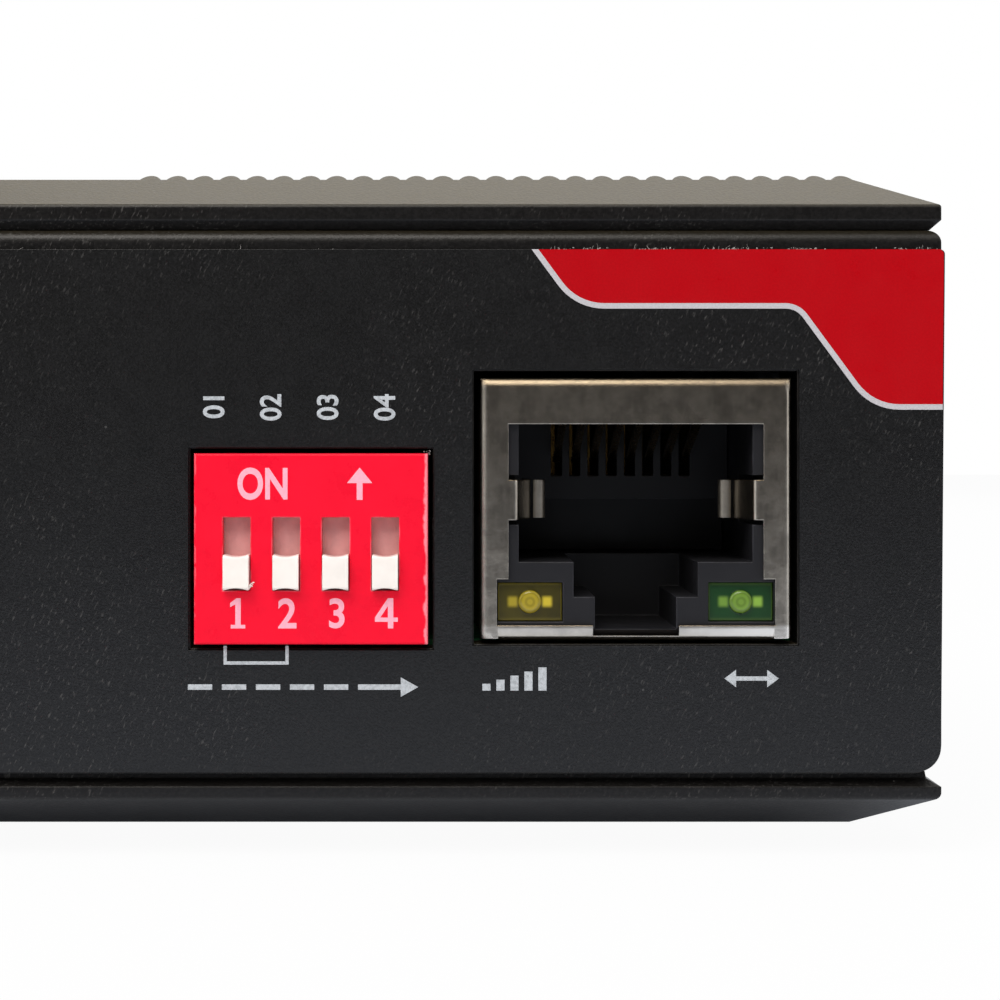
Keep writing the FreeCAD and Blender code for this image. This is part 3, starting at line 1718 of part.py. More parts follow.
def make_main_board():
    """The circuit board, drilled for the case screws and for every soldered tail."""
    body = new_body("main_board")
    edge = s.body_wall + s.board_gap
    pad(body, "board", "XY", board_foot, board_top, inset(edge))
    pocket(
        body, "screw_holes", "XY", board_foot, board_top,
        *[circle(x, y, s.screw_radius + s.screw_hole_gap) for x, y in screw_places],
    )
    tab_y = jack_front + s.shield_tab_place + s.shield_tab_width / 2
    tab_reach = s.jack_width / 2 - s.shield_sheet / 2
    pocket(
        body, "jack_holes", "XY", board_foot, board_top,
        *[circle(px, peg_y, s.peg_radius + s.insert_gap) for px in peg_places],
        *[
            centred(
                jack_x + side * tab_reach, tab_y, s.lead_width * 2,
                s.shield_tab_width + s.lead_width,
            )
            for side in (-1, 1)
        ],
    )
    half = s.contact_groove_half_width
    contact_y = contact_back - s.contact_sheet / 2
    slot_half = s.lead_width
    lamp_y = jack_back + s.lead_clear - s.lead_width / 2
    dip_half = s.dip_pitch * (s.dip_count - 1) / 2 + s.dip_pin_width
    near_y = dip_back + s.dip_pin_first_run - s.dip_pin_sheet / 2
    far_y = dip_back + s.dip_pin_second_run - s.dip_pin_sheet / 2
    lamp_slots = [
        centred(x, lamp_y, s.lead_width * 2, s.lead_width * 2) for x in lamp_lead_places()
    ]
    pocket(
        body, "jack_slots", "XY", board_foot, board_top,
        rectangle(jack_x - half, contact_y - slot_half, jack_x + half, contact_y + slot_half),
        *lamp_slots,
    )
    pocket(
        body, "dip_slots", "XY", board_foot, board_top,
        centred(dip_x, near_y, dip_half * 2, s.lead_width * 2),
        centred(dip_x, far_y, dip_half * 2, s.lead_width * 2),
    )
    hole = pocket(
        body, "optic_hole", "XY", board_foot, board_top,
        circle(first_optic_pin, optic_pin_y, s.optic_pin_radius + s.optic_pin_hole_gap),
    )
    row(body, "optic_holes", hole, "X", s.optic_pin_pitch, s.optic_pin_count)
    first_y = status_back + s.status_lead_pitch / 2
    last_y = first_y + s.status_lead_pitch * status_rows
    spread = s.status_lead_half_spread + s.lead_width
    slots = []
    for x in status_columns:
        slots.append(rectangle(x - spread, first_y, x + spread, last_y))
    pocket(body, "status_slots", "XY", board_foot, board_top, *slots)
    return body


def make_transformer():
    """The isolation transformer, a low moulded block with chamfered ends."""
    body = new_body("isolation_transformer")
    x, y = jack_x, transformer_y
    half, deep = s.transformer_width / 2, s.transformer_depth / 2
    foot = board_top + s.transformer_lift
    head = foot + s.transformer_height
    pad(body, "block", "XY", foot, head, centred(x, y, s.transformer_width, s.transformer_depth))
    crown = edges_along(body, "X", [(y - deep, head), (y + deep, head)])
    crown += edges_along(body, "Y", [(x - half, head), (x + half, head)])
    chamfer(body, "crown", s.transformer_chamfer, crown)
    return body


def side_leads(body, x, y, half, foot, pitch, count, run):
    """Flat leads on both sides of a block, in rows along X."""
    first = x - pitch * (count - 1) / 2
    width = s.chip_lead_width
    near = rectangle(first - width / 2, y - half - run, first + width / 2, y - half)
    far = rectangle(first - width / 2, y + half, first + width / 2, y + half + run)
    lead = pad(body, "x_leads", "XY", foot, foot + s.lead_sheet, near, far)
    row(body, "x_lead_rows", lead, "X", pitch, count)


def make_transformer_leads():
    """The transformer's two rows of leads."""
    body = new_body("transformer_leads")
    side_leads(
        body, jack_x, transformer_y, s.transformer_depth / 2,
        board_top + s.transformer_lift, s.transformer_lead_pitch,
        s.transformer_lead_count, s.chip_lead_run,
    )
    return body


def make_converter_chip():
    """The converter's square flat chip."""
    body = new_body("converter_chip")
    foot = board_top + s.chip_lift
    pad(
        body, "package", "XY", foot, foot + s.chip_height,
        centred(s.chip_x, chip_y, s.chip_side, s.chip_side),
    )
    return body


def make_chip_leads():
    """Leads on all four sides of the chip."""
    body = new_body("chip_leads")
    half = s.chip_side / 2
    foot = board_top + s.chip_lift
    pitch, count, run = s.chip_lead_pitch, s.chip_lead_count, s.chip_lead_run
    side_leads(body, s.chip_x, chip_y, half, foot, pitch, count, run)
    first = chip_y - pitch * (count - 1) / 2
    width = s.chip_lead_width
    left = rectangle(
        s.chip_x - half - run, first - width / 2, s.chip_x - half, first + width / 2
    )
    right = rectangle(
        s.chip_x + half, first - width / 2, s.chip_x + half + run, first + width / 2
    )
    lead = pad(body, "y_leads", "XY", foot, foot + s.lead_sheet, left, right)
    row(body, "y_lead_rows", lead, "Y", pitch, count)
    return body


def make_regulator():
    """The voltage regulator, with its heat tab."""
    body = new_body("voltage_regulator")
    x, y = s.regulator_x, supply_y
    pad(
        body, "package", "XY", board_top, board_top + s.regulator_height,
        centred(x, y, s.regulator_width, s.regulator_depth),
    )
    deep = s.regulator_depth / 2
    pad(
        body, "tab", "XY", board_top, board_top + s.lead_sheet,
        rectangle(
            x - s.regulator_width / 2, y - deep - s.regulator_tab,
            x + s.regulator_width / 2, y - deep,
        ),
    )
    return body


def make_crystal():
    """The clock crystal's can, round at both ends, on its flange."""
    body = new_body("clock_crystal")
    rim = s.crystal_flange
    x = -s.crystal_x
    y = supply_y - s.capacitor_radius - s.crystal_gap - rim - s.crystal_length / 2
    pad(
        body, "flange", "XY", board_top, board_top + rim,
        slot(x, y, s.crystal_width + rim * 2, s.crystal_length + rim * 2),
    )
    pad(
        body, "can", "XY", board_top + rim, board_top + s.crystal_height,
        slot(x, y, s.crystal_width, s.crystal_length),
    )
    return body


def make_capacitors():
    """Standing electrolytic capacitors, each with the pressed groove round its foot."""
    body = new_body("electrolytic_capacitors")
    places = [
        (-s.capacitor_x - s.capacitor_pitch * number, supply_y)
        for number in range(s.capacitor_count.count())
    ]
    groove_foot = board_top + s.capacitor_groove_height
    groove_head = groove_foot + s.capacitor_groove_height / 2
    head = board_top + s.capacitor_height
    waist = s.capacitor_radius - s.capacitor_groove_depth
    wide = [circle(x, y, s.capacitor_radius) for x, y in places]
    pad(body, "feet", "XY", board_top, groove_foot, *wide)
    pad(
        body, "waists", "XY", groove_foot, groove_head,
        *[circle(x, y, waist) for x, y in places],
    )
    pad(body, "cans", "XY", groove_head, head, *wide)
    fillet(body, "tops", s.capacitor_edge, rims(body, s.capacitor_radius, "Z", head))
    return body


def make_inductor():
    """The shielded power inductor, a square block with cut corners."""
    body = new_body("power_inductor")
    half = s.inductor_side / 2
    x = half_width - s.inductor_inset
    y = inlet_inner - s.inductor_gap - half
    pad(
        body, "block", "XY", board_top, board_top + s.inductor_height,
        centred(x, y, s.inductor_side, s.inductor_side),
    )
    corners = [(x + i * half, y + j * half) for i in (-1, 1) for j in (-1, 1)]
    chamfer(body, "corners", s.inductor_corner, edges_along(body, "Z", corners))
    return body


def make_small_parts():
    """A row of small ceramic capacitors and resistors."""
    body = new_body("small_chip_parts")
    half = s.small_part_depth / 2
    x = optic_x + s.optic_width / 2 + s.small_part_side_gap
    y = chip_y - s.chip_side / 2 - s.chip_lead_run - s.small_part_chip_gap - half
    part = pad(
        body, "part", "XY", board_top, board_top + s.small_part_height,
        centred(x, y, s.small_part_width, s.small_part_depth),
    )
    row(body, "parts", part, "X", s.small_part_pitch, s.small_part_count)
    return body


def make_all():
    """Every piece of the converter, each a body of its own."""
    pieces = [
        make_top_cover(),
        make_case_body(),
        make_bottom_cover(),
        make_case_screws(),
        make_rubber_feet(),
        make_front_overlay(),
        make_overlay_red_field(),
        make_overlay_grey_line(),
        make_jack_shield(),
        make_jack_housing(),
        make_jack_contact_carrier(),
        make_jack_contacts(),
        make_jack_lamp("jack_lamp_yellow", -1),
        make_jack_lamp("jack_lamp_green", 1),
        make_jack_lamp_leads(),
        make_dip_housing(),
        make_dip_base(),
        make_dip_pins(),
    ]
    for number in range(1, s.dip_count.count() + 1):
        pieces.append(make_dip_slider(number))
    pieces += [
        make_optic_housing(),
        make_optic_sleeves(),
        make_optic_latches(),
        make_optic_cans(),
        make_optic_pins(),
        make_status_lamps(),
        make_status_holder(),
        make_status_leads(),
        make_inlet_body(),
        make_inlet_pin(),
        make_inlet_spring(),
        make_main_board(),
        make_transformer(),
        make_transformer_leads(),
        make_converter_chip(),
        make_chip_leads(),
        make_regulator(),
        make_crystal(),
        make_capacitors(),
        make_inductor(),
        make_small_parts(),
    ]
    return pieces


def check(pieces):
    """Stop if any object failed or any piece has no sound shape."""
    for thing in doc.Objects:
        if "Invalid" in thing.State or "Error" in thing.State:
            raise RuntimeError("%s failed: %s" % (thing.Label, thing.State))
    for piece in pieces:
        if piece.Shape.isNull() or not piece.Shape.isValid() or not piece.Shape.Solids:
            raise RuntimeError("%s has no sound shape" % piece.Label)


pieces = make_all()
doc.recompute()
check(pieces)
os.makedirs("parts", exist_ok=True)
for piece in pieces:
    piece.Shape.exportStep("parts/%s.step" % piece.Label)
print("%d pieces" % len(pieces))
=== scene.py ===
import math
import random

import bmesh
import bpy
from bpy.props import FloatProperty, FloatVectorProperty, PointerProperty
from mathutils import Matrix, Vector


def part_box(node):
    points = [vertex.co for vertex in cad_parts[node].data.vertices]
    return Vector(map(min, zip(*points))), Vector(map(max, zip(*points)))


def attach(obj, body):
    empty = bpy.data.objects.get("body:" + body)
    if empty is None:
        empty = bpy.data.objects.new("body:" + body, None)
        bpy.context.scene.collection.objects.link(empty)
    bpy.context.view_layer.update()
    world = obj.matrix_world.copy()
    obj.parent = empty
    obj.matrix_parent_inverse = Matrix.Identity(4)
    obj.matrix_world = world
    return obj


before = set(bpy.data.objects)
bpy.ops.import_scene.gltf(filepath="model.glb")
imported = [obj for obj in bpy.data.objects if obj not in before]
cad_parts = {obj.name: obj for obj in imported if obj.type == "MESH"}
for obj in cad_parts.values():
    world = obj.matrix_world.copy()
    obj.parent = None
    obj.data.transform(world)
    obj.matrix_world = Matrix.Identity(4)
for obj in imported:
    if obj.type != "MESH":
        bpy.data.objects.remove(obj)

bl_info = {
    "name": "Fibre media converter",
    "version": (1, 0, 0),
    "blender": (4, 5, 0),
    "location": "3D View > Sidebar > Converter",
    "description": "Finishes the pieces of a desktop fibre media converter and sets its stage",
    "category": "Object",
}

MM = 0.001
CASE = "case"
SLIDERS = ["dip_slider_%d" % number for number in range(1, 5)]
SHOWN_STRENGTH = 1.0


# Colours and small helpers


def linear(level):
    """One display value, 0 to 255, as linear light."""
    share = level / 255
    if share <= 0.04045:
        return share / 12.92
    return ((share + 0.055) / 1.055) ** 2.4


def shade(red, green, blue):
    """A colour in linear light from its display values."""
    return (linear(red), linear(green), linear(blue))


def deeper(colour, share):
    """A colour with only a share of its light."""
    return tuple(channel * share for channel in colour)


# Settings


def colour_setting(name, description, default):
    return FloatVectorProperty(
        name=name, description=description, default=default,
        subtype="COLOR", size=3, min=0.0, max=1.0,
    )


def share_setting(name, description, default):
    return FloatProperty(
        name=name, description=description, default=default,
        subtype="FACTOR", min=0.0, max=1.0,
    )


def length_setting(name, description, default):
    return FloatProperty(
        name=name, description=description, default=default,
        unit="LENGTH", min=0.0, precision=6,
    )


class CaseSettings(bpy.types.PropertyGroup):
    paint: colour_setting("Paint", "Powder coat of the shells", shade(21, 20, 20))
    worn_paint: colour_setting("Worn paint", "Paint rubbed thin on an edge", shade(58, 55, 50))
    paint_roughness: share_setting("Paint roughness", "How dull the powder coat is", 0.33)
    paint_grain: length_setting("Paint grain", "Size of the coat's dimples", 0.16 * MM)
    fold_radius: length_setting("Fold radius", "How far the paint rounds an edge", 0.14 * MM)
    # the warm tint on upper faces is dust and a painted highlight of the warm light above
    settled: colour_setting("Settled dust", "Fine dust on upper faces", shade(76, 68, 48))
    rubber: colour_setting("Rubber", "Colour of the feet", shade(34, 34, 35))
    screw: colour_setting("Screw", "Plating of the case screws", shade(120, 118, 112))


class OverlaySettings(bpy.types.PropertyGroup):
    film: colour_setting("Film", "Printed film on the port face", shade(18, 18, 19))
    flash: colour_setting("Flash", "Corner flash", shade(173, 1, 14))
    line: colour_setting("Line", "Line under the flash", shade(186, 184, 190))
    legend: colour_setting("Legend", "Printed marks", shade(186, 192, 199))
    lint: colour_setting("Lint", "Dust caught by the film's glue", shade(166, 163, 160))
    film_roughness: share_setting("Film roughness", "How matt the film is", 0.31)
    film_grain: length_setting("Film grain", "Size of the film's texture", 0.11 * MM)
    ink_height: length_setting("Ink height", "How far the marks stand proud", 0.012 * MM)


class JackSettings(bpy.types.PropertyGroup):
    sheet: colour_setting("Shield", "Plating of the jack's shield", shade(196, 187, 173))
    # a painted warm reflection of the light above, on folds that face up
    sheet_fold: colour_setting("Shield fold", "Plating on folds that face up", shade(158, 142, 119))
    sheet_roughness: share_setting("Shield roughness", "How brushed the plating is", 0.22)
    sheet_edge: length_setting("Shield edge", "Rounding of the punched edges", 0.07 * MM)
    insert: colour_setting("Insert", "Moulding inside the jack", shade(29, 29, 33))
    contact: colour_setting("Contact", "Plating of the contacts", shade(236, 190, 104))
    yellow: colour_setting("Yellow lamp", "Tinted block of the left lamp", shade(70, 64, 16))
    yellow_core: colour_setting("Yellow core", "Bright core of the left lamp", shade(156, 140, 38))
    green: colour_setting("Green lamp", "Tinted block of the right lamp", shade(22, 62, 28))
    green_core: colour_setting("Green core", "Bright core of the right lamp", shade(104, 137, 52))


class SwitchSettings(bpy.types.PropertyGroup):
    cover: colour_setting("Cover", "Moulded cover of the switch", shade(246, 12, 48))
    # the cover's pale edges are part wear, part painted highlight
    rubbed: colour_setting("Rubbed edge", "Pale edge of the cover", shade(255, 150, 165))
    slider: colour_setting("Slider", "Moulded sliders", shade(246, 240, 236))
    # painted shade: the plates deep in the slots, pink from the light of the red walls
    plate: colour_setting("Slider plate", "Sliders inside the slots", shade(210, 158, 156))
    mark: colour_setting("Mark", "Printing on the cover", shade(252, 176, 196))
    mark_height: length_setting("Mark height", "How far the printing stands proud", 0.012 * MM)


class FibrePortSettings(bpy.types.PropertyGroup):
    housing: colour_setting("Housing", "Moulding of the fibre port", shade(36, 36, 38))
    sleeve: colour_setting("Sleeve", "Ceramic of the ferrule sleeves", shade(232, 228, 216))
    can: colour_setting("Can", "Cans of sender and receiver", shade(196, 192, 184))
    pin: colour_setting("Pin", "Tinned pins and leads", shade(200, 198, 192))


class LampSettings(bpy.types.PropertyGroup):
    lens: colour_setting("Lens", "Clear resin of the status lamps", shade(214, 222, 214))
    holder: colour_setting("Holder", "Block that holds the lamps", shade(24, 24, 25))


class BoardSettings(bpy.types.PropertyGroup):
    mask: colour_setting("Solder mask", "Lacquer on the board", shade(16, 82, 46))
    track: colour_setting("Track", "Lacquer over copper", shade(40, 118, 66))
    package: colour_setting("Package", "Moulding of the chips", shade(32, 32, 33))
    sleeve: colour_setting("Sleeve", "Sleeves of the capacitors", shade(26, 30, 44))
    ferrite: colour_setting("Ferrite", "Core of the inductor", shade(66, 66, 68))
    ceramic: colour_setting("Ceramic", "Small ceramic parts", shade(176, 150, 116))


class StageSettings(bpy.types.PropertyGroup):
    camera_place: FloatVectorProperty(
        name="Camera place", description="Where the camera stands",
        default=(24.15 * MM, -150.0 * MM, 21.59 * MM), subtype="TRANSLATION", unit="LENGTH",
    )
    lens: FloatProperty(
        name="Lens", description="Focal length in millimetres", default=78.2, min=10.0,
    )
    shift: FloatProperty(
        name="Shift", description="How far the frame sits right of and below the lens axis",
        default=0.06, min=0.0, max=0.07,
    )
    floor: colour_setting("Floor", "Colour of the floor", (0.80, 0.82, 0.86))
    floor_glow: share_setting("Floor glow", "How far the floor is seen as plain white", 0.95)
    key: FloatProperty(name="Key", description="Brightness of the front lamp", default=6.2)
    fill: FloatProperty(name="Fill", description="Brightness of the side lamps", default=2.0)
    back: FloatProperty(name="Back", description="Brightness of the rear lamp", default=1.6)
    warmth: colour_setting("Warmth", "Colour of the lamps overhead", (1.0, 0.96, 0.90))
    ambient: FloatProperty(name="Ambient", description="Light from all round", default=0.42)


class ConverterSettings(bpy.types.PropertyGroup):
    case: PointerProperty(type=CaseSettings)
    overlay: PointerProperty(type=OverlaySettings)
    jack: PointerProperty(type=JackSettings)
    switch: PointerProperty(type=SwitchSettings)
    fibre_port: PointerProperty(type=FibrePortSettings)
    lamps: PointerProperty(type=LampSettings)
    board: PointerProperty(type=BoardSettings)
    stage: PointerProperty(type=StageSettings)


def settings():
    return bpy.context.scene.converter


# Node trees


VECTORS = ("Position", "Centre", "Normal")


class Tree:
    """A node tree that is being built."""

    def __init__(self, tree):
        self.tree = tree

    def feed(self, socket, value):
        """Join a socket to another, or give it a plain value or a solid colour."""
        if isinstance(value, bpy.types.NodeSocket):
            self.tree.links.new(value, socket)
        elif socket.type == "RGBA":
            socket.default_value = (*value[:3], 1.0)
        else:
            socket.default_value = value

    def node(self, kind, inputs=None, **traits):
        """A new shader node with its traits set and its inputs fed."""
        made = self.tree.nodes.new("ShaderNode" + kind)
        for name, value in traits.items():
            setattr(made, name, value)
        for name, value in (inputs or {}).items():
            self.feed(made.inputs[name], value)
        return made

    def math(self, operation, first, second=0.0, clamp=False):
        inputs = {0: first, 1: second}
        return self.node("Math", inputs, operation=operation, use_clamp=clamp).outputs[0]

    def times(self, first, second):
        return self.math("MULTIPLY", first, second)

    def larger(self, first, second):
        return self.math("MAXIMUM", first, second)

    def vectors(self, operation, first, second):
        """What an operation makes of two vectors."""
        return self.node("VectorMath", {0: first, 1: second}, operation=operation).outputs

    def axes(self, vector):
        """The X, Y and Z of a vector."""
        return self.node("SeparateXYZ", {0: vector}).outputs

    def ramp(self, value, low, high, start=0.0, end=1.0):
        """The value's way from low to high, smoothed and carried over to start and end."""
        inputs = {
            "Value": value, "From Min": low, "From Max": high, "To Min": start, "To Max": end,
        }
        return self.node("MapRange", inputs, interpolation_type="SMOOTHSTEP").outputs[0]

    def noise(self, position, scale, detail=2.0, roughness=0.5):
        inputs = {"Vector": position, "Scale": scale, "Detail": detail, "Roughness": roughness}
        return self.node("TexNoise", inputs).outputs["Fac"]

    def mix(self, share, first, second):
        """A colour between two, by a share."""
        inputs = {0: share, 6: first, 7: second}
        return self.node("Mix", data_type="RGBA", clamp_factor=True, inputs=inputs).outputs[2]

    def shades(self, share, colour, low, high=1.0):
        """A colour's way from a low to a high part of its light, by a share."""
        return self.mix(share, deeper(colour, low), deeper(colour, high))

    def tint(self, tone, mask, amount, colour):
        """A tone that goes over to a colour under a mask, by an amount."""
        return self.mix(self.times(mask, amount), tone, colour)


def new_effect(name, inputs, outputs):
    """An empty node group fed by a position and its inputs, as a tree with its two ends."""
    group = bpy.data.node_groups.new(name, "ShaderNodeTree")
    for side, labels in (("INPUT", ["Position", *inputs]), ("OUTPUT", outputs)):
        for label in labels:
            kind = "NodeSocketVector" if label in VECTORS else "NodeSocketFloat"
            group.interface.new_socket(name=label, in_out=side, socket_type=kind)
    start = group.nodes.new("NodeGroupInput").outputs
    end = group.nodes.new("NodeGroupOutput").inputs
    return Tree(group), start, end


def build_grain():
    """Fine dimples, a fine speckle and a slow mottle, for paint, film and moulded plastic."""
    tree, start, end = new_effect("fine_grain", ["Size"], ["Height", "Speckle", "Mottle"])
    scale = tree.math("DIVIDE", 1.0, start["Size"])
    fine = tree.noise(start["Position"], scale, 2.0, 0.6)
    slow = tree.noise(start["Position"], tree.times(scale, 0.06), 5.0, 0.7)
    tree.feed(end["Height"], fine)
    tree.feed(end["Speckle"], tree.ramp(fine, 0.36, 0.66))
    tree.feed(end["Mottle"], tree.ramp(slow, 0.3, 0.7))


def build_soft_edge():
    """Normals that round an edge, and a patchy mask of the edge, used for worn edges and for
    painted edge highlights.
    """
    tree, start, end = new_effect("soft_edge", ["Radius"], ["Normal", "Wear_and_highlight"])
    rounded = tree.node("Bevel", {"Radius": start["Radius"]}, samples=6).outputs[0]
    flat = tree.node("NewGeometry").outputs["Normal"]
    turn = tree.vectors("DOT_PRODUCT", rounded, flat)["Value"]
    patch = tree.ramp(tree.noise(start["Position"], 0.7 / MM, 3.0, 0.6), 0.38, 0.68)
    tree.feed(end["Normal"], rounded)
    tree.feed(end["Wear_and_highlight"], tree.times(tree.ramp(turn, 0.995, 0.8), patch))


def build_settled():
    """A mask of the faces that look up, patchy: where dust settles and where the painted highlight
    of the light above goes.
    """
    tree, start, end = new_effect("settled", [], ["Mask"])
    upward = tree.axes(tree.node("NewGeometry").outputs["Normal"])["Z"]
    patch = tree.ramp(tree.noise(start["Position"], 1.3 / MM, 5.0, 0.7), 0.2, 0.8, 0.85, 1.0)
    tree.feed(end["Mask"], tree.times(tree.ramp(upward, 0.02, 0.8), patch))


def build_dust():
    """Scattered specks, a few of each size."""
    tree, start, end = new_effect("dust", ["Spacing", "Amount"], ["Mask"])
    inputs = {"Vector": start["Position"], "Scale": 4.0 / MM}
    inputs = {0: tree.node("TexNoise", inputs).outputs["Color"], "Scale": 0.12 * MM}
    shift = tree.node("VectorMath", operation="SCALE", inputs=inputs).outputs[0]
    bent = tree.vectors("ADD", start["Position"], shift)[0]
    inputs = {"Vector": bent, "Scale": tree.math("DIVIDE", 1.0, start["Spacing"])}
    cells = tree.node("TexVoronoi", inputs).outputs
    dice = tree.node("SeparateColor", {"Color": cells["Color"]}).outputs
    chosen = tree.math("LESS_THAN", dice[0], start["Amount"])
    reach = tree.ramp(dice[1], 0.0, 1.0, 0.015, 0.06)
    tree.feed(end["Mask"], tree.times(chosen, tree.math("LESS_THAN", cells["Distance"], reach)))


def build_brushed():
    """Soft upright streaks and slow clouds, for rolled and brushed sheet."""
    tree, start, end = new_effect("brushed", ["Size"], ["Streak", "Cloud"])
    inputs = {"Vector": start["Position"], "Scale": (1.0, 1.0, 0.16)}
    upright_grain = tree.node("Mapping", inputs).outputs[0]
    scale = tree.math("DIVIDE", 1.0, start["Size"])
    slow = tree.noise(start["Position"], tree.times(scale, 0.16), 4.0, 0.6)
    tree.feed(end["Streak"], tree.ramp(tree.noise(upright_grain, scale, 3.0), 0.2, 0.8))
    tree.feed(end["Cloud"], tree.ramp(slow, 0.3, 0.7))


def build_strokes():
    """A mask of short faint strokes, the fibres that cling to a film."""
    tree, start, end = new_effect("strokes", [], ["Mask"])
    turned = tree.node("Mapping", {"Vector": start["Position"], "Rotation": (0.0, -0.42, 0.0)})
    drawn = tree.node("Mapping", {"Vector": turned.outputs[0], "Scale": (1.0, 1.0, 0.32)})
    fine = tree.ramp(tree.noise(drawn.outputs[0], 8.0 / MM, 2.0), 0.57, 0.74)
    patch = tree.ramp(tree.noise(start["Position"], 0.09 / MM, 2.0), 0.42, 0.68, 0.1, 1.0)
    tree.feed(end["Mask"], tree.times(fine, patch))


def build_recess():
    """How far a place lies behind a front face, from none to full over a reach."""
    tree, start, end = new_effect("recess", ["Face", "Reach"], ["Mask"])
    depth = tree.math("SUBTRACT", tree.axes(start["Position"])["Y"], start["Face"])
    tree.feed(end["Mask"], tree.math("DIVIDE", depth, start["Reach"], True))


def build_lamp_core():
    """Masks of a lamp's face: its round lens, the lens's rings for their painted shading, the lugs
    beside it, and a painted highlight along the block's edges.
    """
    tree, start, end = new_effect(
        "lamp_core", ["Centre", "Radius", "Wide", "High"], ["Core", "Rings", "Lugs", "Rim_highlight"]
    )
    place = tree.axes(tree.vectors("SUBTRACT", start["Position"], start["Centre"])[0])
    across = tree.math("DIVIDE", place["X"], start["Radius"])
    upward = tree.math("DIVIDE", place["Z"], start["Radius"])
    squares = tree.math("ADD", tree.times(across, across), tree.times(upward, upward))
    distance = tree.math("SQRT", squares)
    wave = tree.math("SINE", tree.times(distance, 14.0))
    beside = tree.math("SUBTRACT", tree.math("ABSOLUTE", across), 1.45)
    lug = tree.times(
        tree.ramp(tree.math("ABSOLUTE", beside), 0.58, 0.2),
        tree.ramp(tree.math("ABSOLUTE", upward), 0.62, 0.2),
    )
    to_side = tree.math("SUBTRACT", start["Wide"], tree.math("ABSOLUTE", place["X"]))
    to_end = tree.math("SUBTRACT", start["High"], tree.math("ABSOLUTE", place["Z"]))
    ends = tree.times(tree.ramp(to_end, 0.22 * MM, 0.04 * MM), 0.6)
    tree.feed(end["Core"], tree.ramp(distance, 1.02, 0.9))
    tree.feed(end["Rings"], tree.ramp(wave, -1.0, 1.0))
    # painted highlight on the lugs, brighter on the right
    tree.feed(end["Lugs"], tree.times(lug, tree.ramp(across, -1.0, 1.0, 0.6, 1.0)))
    # painted highlight along the block's edges, strongest at the sides
    tree.feed(end["Rim_highlight"], tree.larger(tree.ramp(to_side, 0.10 * MM, 0.0), ends))


def build_effects():
    for build in (
        build_grain, build_soft_edge, build_settled, build_dust, build_brushed, build_strokes,
        build_recess, build_lamp_core,
    ):
        build()


# Finishes


class Finish(Tree):
    """A material built round its Principled shader: a new one by its name, or one taken up."""

    def __init__(self, material, **sockets):
        if isinstance(material, str):
            material = bpy.data.materials.new(material)
            material.use_nodes = True
        self.material = material
        super().__init__(material.node_tree)
        self.shader = self.tree.nodes["Principled BSDF"]
        for label, value in sockets.items():
            self.shader.inputs[label.replace("_", " ")].default_value = value
        self.position = self.node("TexCoord").outputs["Object"]

    def effect(self, name, **inputs):
        """One of the shared effects, placed with its own values."""
        placed = self.tree.nodes.new("ShaderNodeGroup")
        placed.node_tree = bpy.data.node_groups[name]
        self.feed(placed.inputs["Position"], self.position)
        for label, value in inputs.items():
            self.feed(placed.inputs[label], value)
        return placed.outputs

    def mask(self, name, **inputs):
        return self.effect(name, **inputs)["Mask"]

    def tone(self):
        """What feeds the colour so far."""
        return self.shader.inputs["Base Color"].links[0].from_socket

    def colour(self, value):
        self.feed(self.shader.inputs["Base Color"], value)

    def roughness(self, mask, low, high):
        """Roughness that goes from low to high with a mask."""
        inputs = {"Value": mask, "To Min": low, "To Max": high}
        self.feed(self.shader.inputs["Roughness"], self.node("MapRange", inputs).outputs[0])

    def relief(self, height, depth, normal=None):
        """Bump of a depth in metres, on top of a normal."""
        bump = self.node("Bump", {"Height": height, "Strength": 1.0, "Distance": depth})
        if normal is not None:
            self.feed(bump.inputs["Normal"], normal)
        self.feed(self.shader.inputs["Normal"], bump.outputs[0])


def painted_steel(name, dust_and_highlight_share):
    """Black powder coat, worn along the folds; a warm tint on faces that look up, by a share and
    most at a slant, is dust and a painted highlight of the warm light above.
    """
    case = settings().case
    made = Finish(name, Specular_IOR_Level=0.24)
    grain = made.effect("fine_grain", Size=case.paint_grain)
    edge = made.effect("soft_edge", Radius=case.fold_radius)
    # the tint grows where a face is seen at a slant, like a sheen: a painted highlight
    slant = made.node("LayerWeight", {"Blend": 0.5}).outputs["Facing"]
    settled = made.times(made.mask("settled"), made.ramp(slant, 0.4, 0.7, 0.4 * dust_and_highlight_share, dust_and_highlight_share))
    dust_and_highlight_tone = made.shades(grain["Speckle"], case.settled, 0.86, 1.1)
    tone = made.mix(settled, made.shades(grain["Speckle"], case.paint, 0.7, 1.3), dust_and_highlight_tone)
    tone = made.tint(tone, edge["Wear_and_highlight"], 0.55, case.worn_paint)
    tone = made.tint(tone, made.mask("strokes"), 0.7, (0.07, 0.067, 0.064))
    specks = made.mask("dust", Spacing=1.9 * MM, Amount=0.2)
    made.colour(made.tint(tone, specks, 0.6, (0.3, 0.29, 0.27)))
    dull = made.larger(settled, made.times(grain["Mottle"], 0.25))
    made.roughness(dull, case.paint_roughness - 0.02, case.paint_roughness + 0.17)
    made.relief(grain["Height"], 0.014 * MM, edge["Normal"])
    return made.material


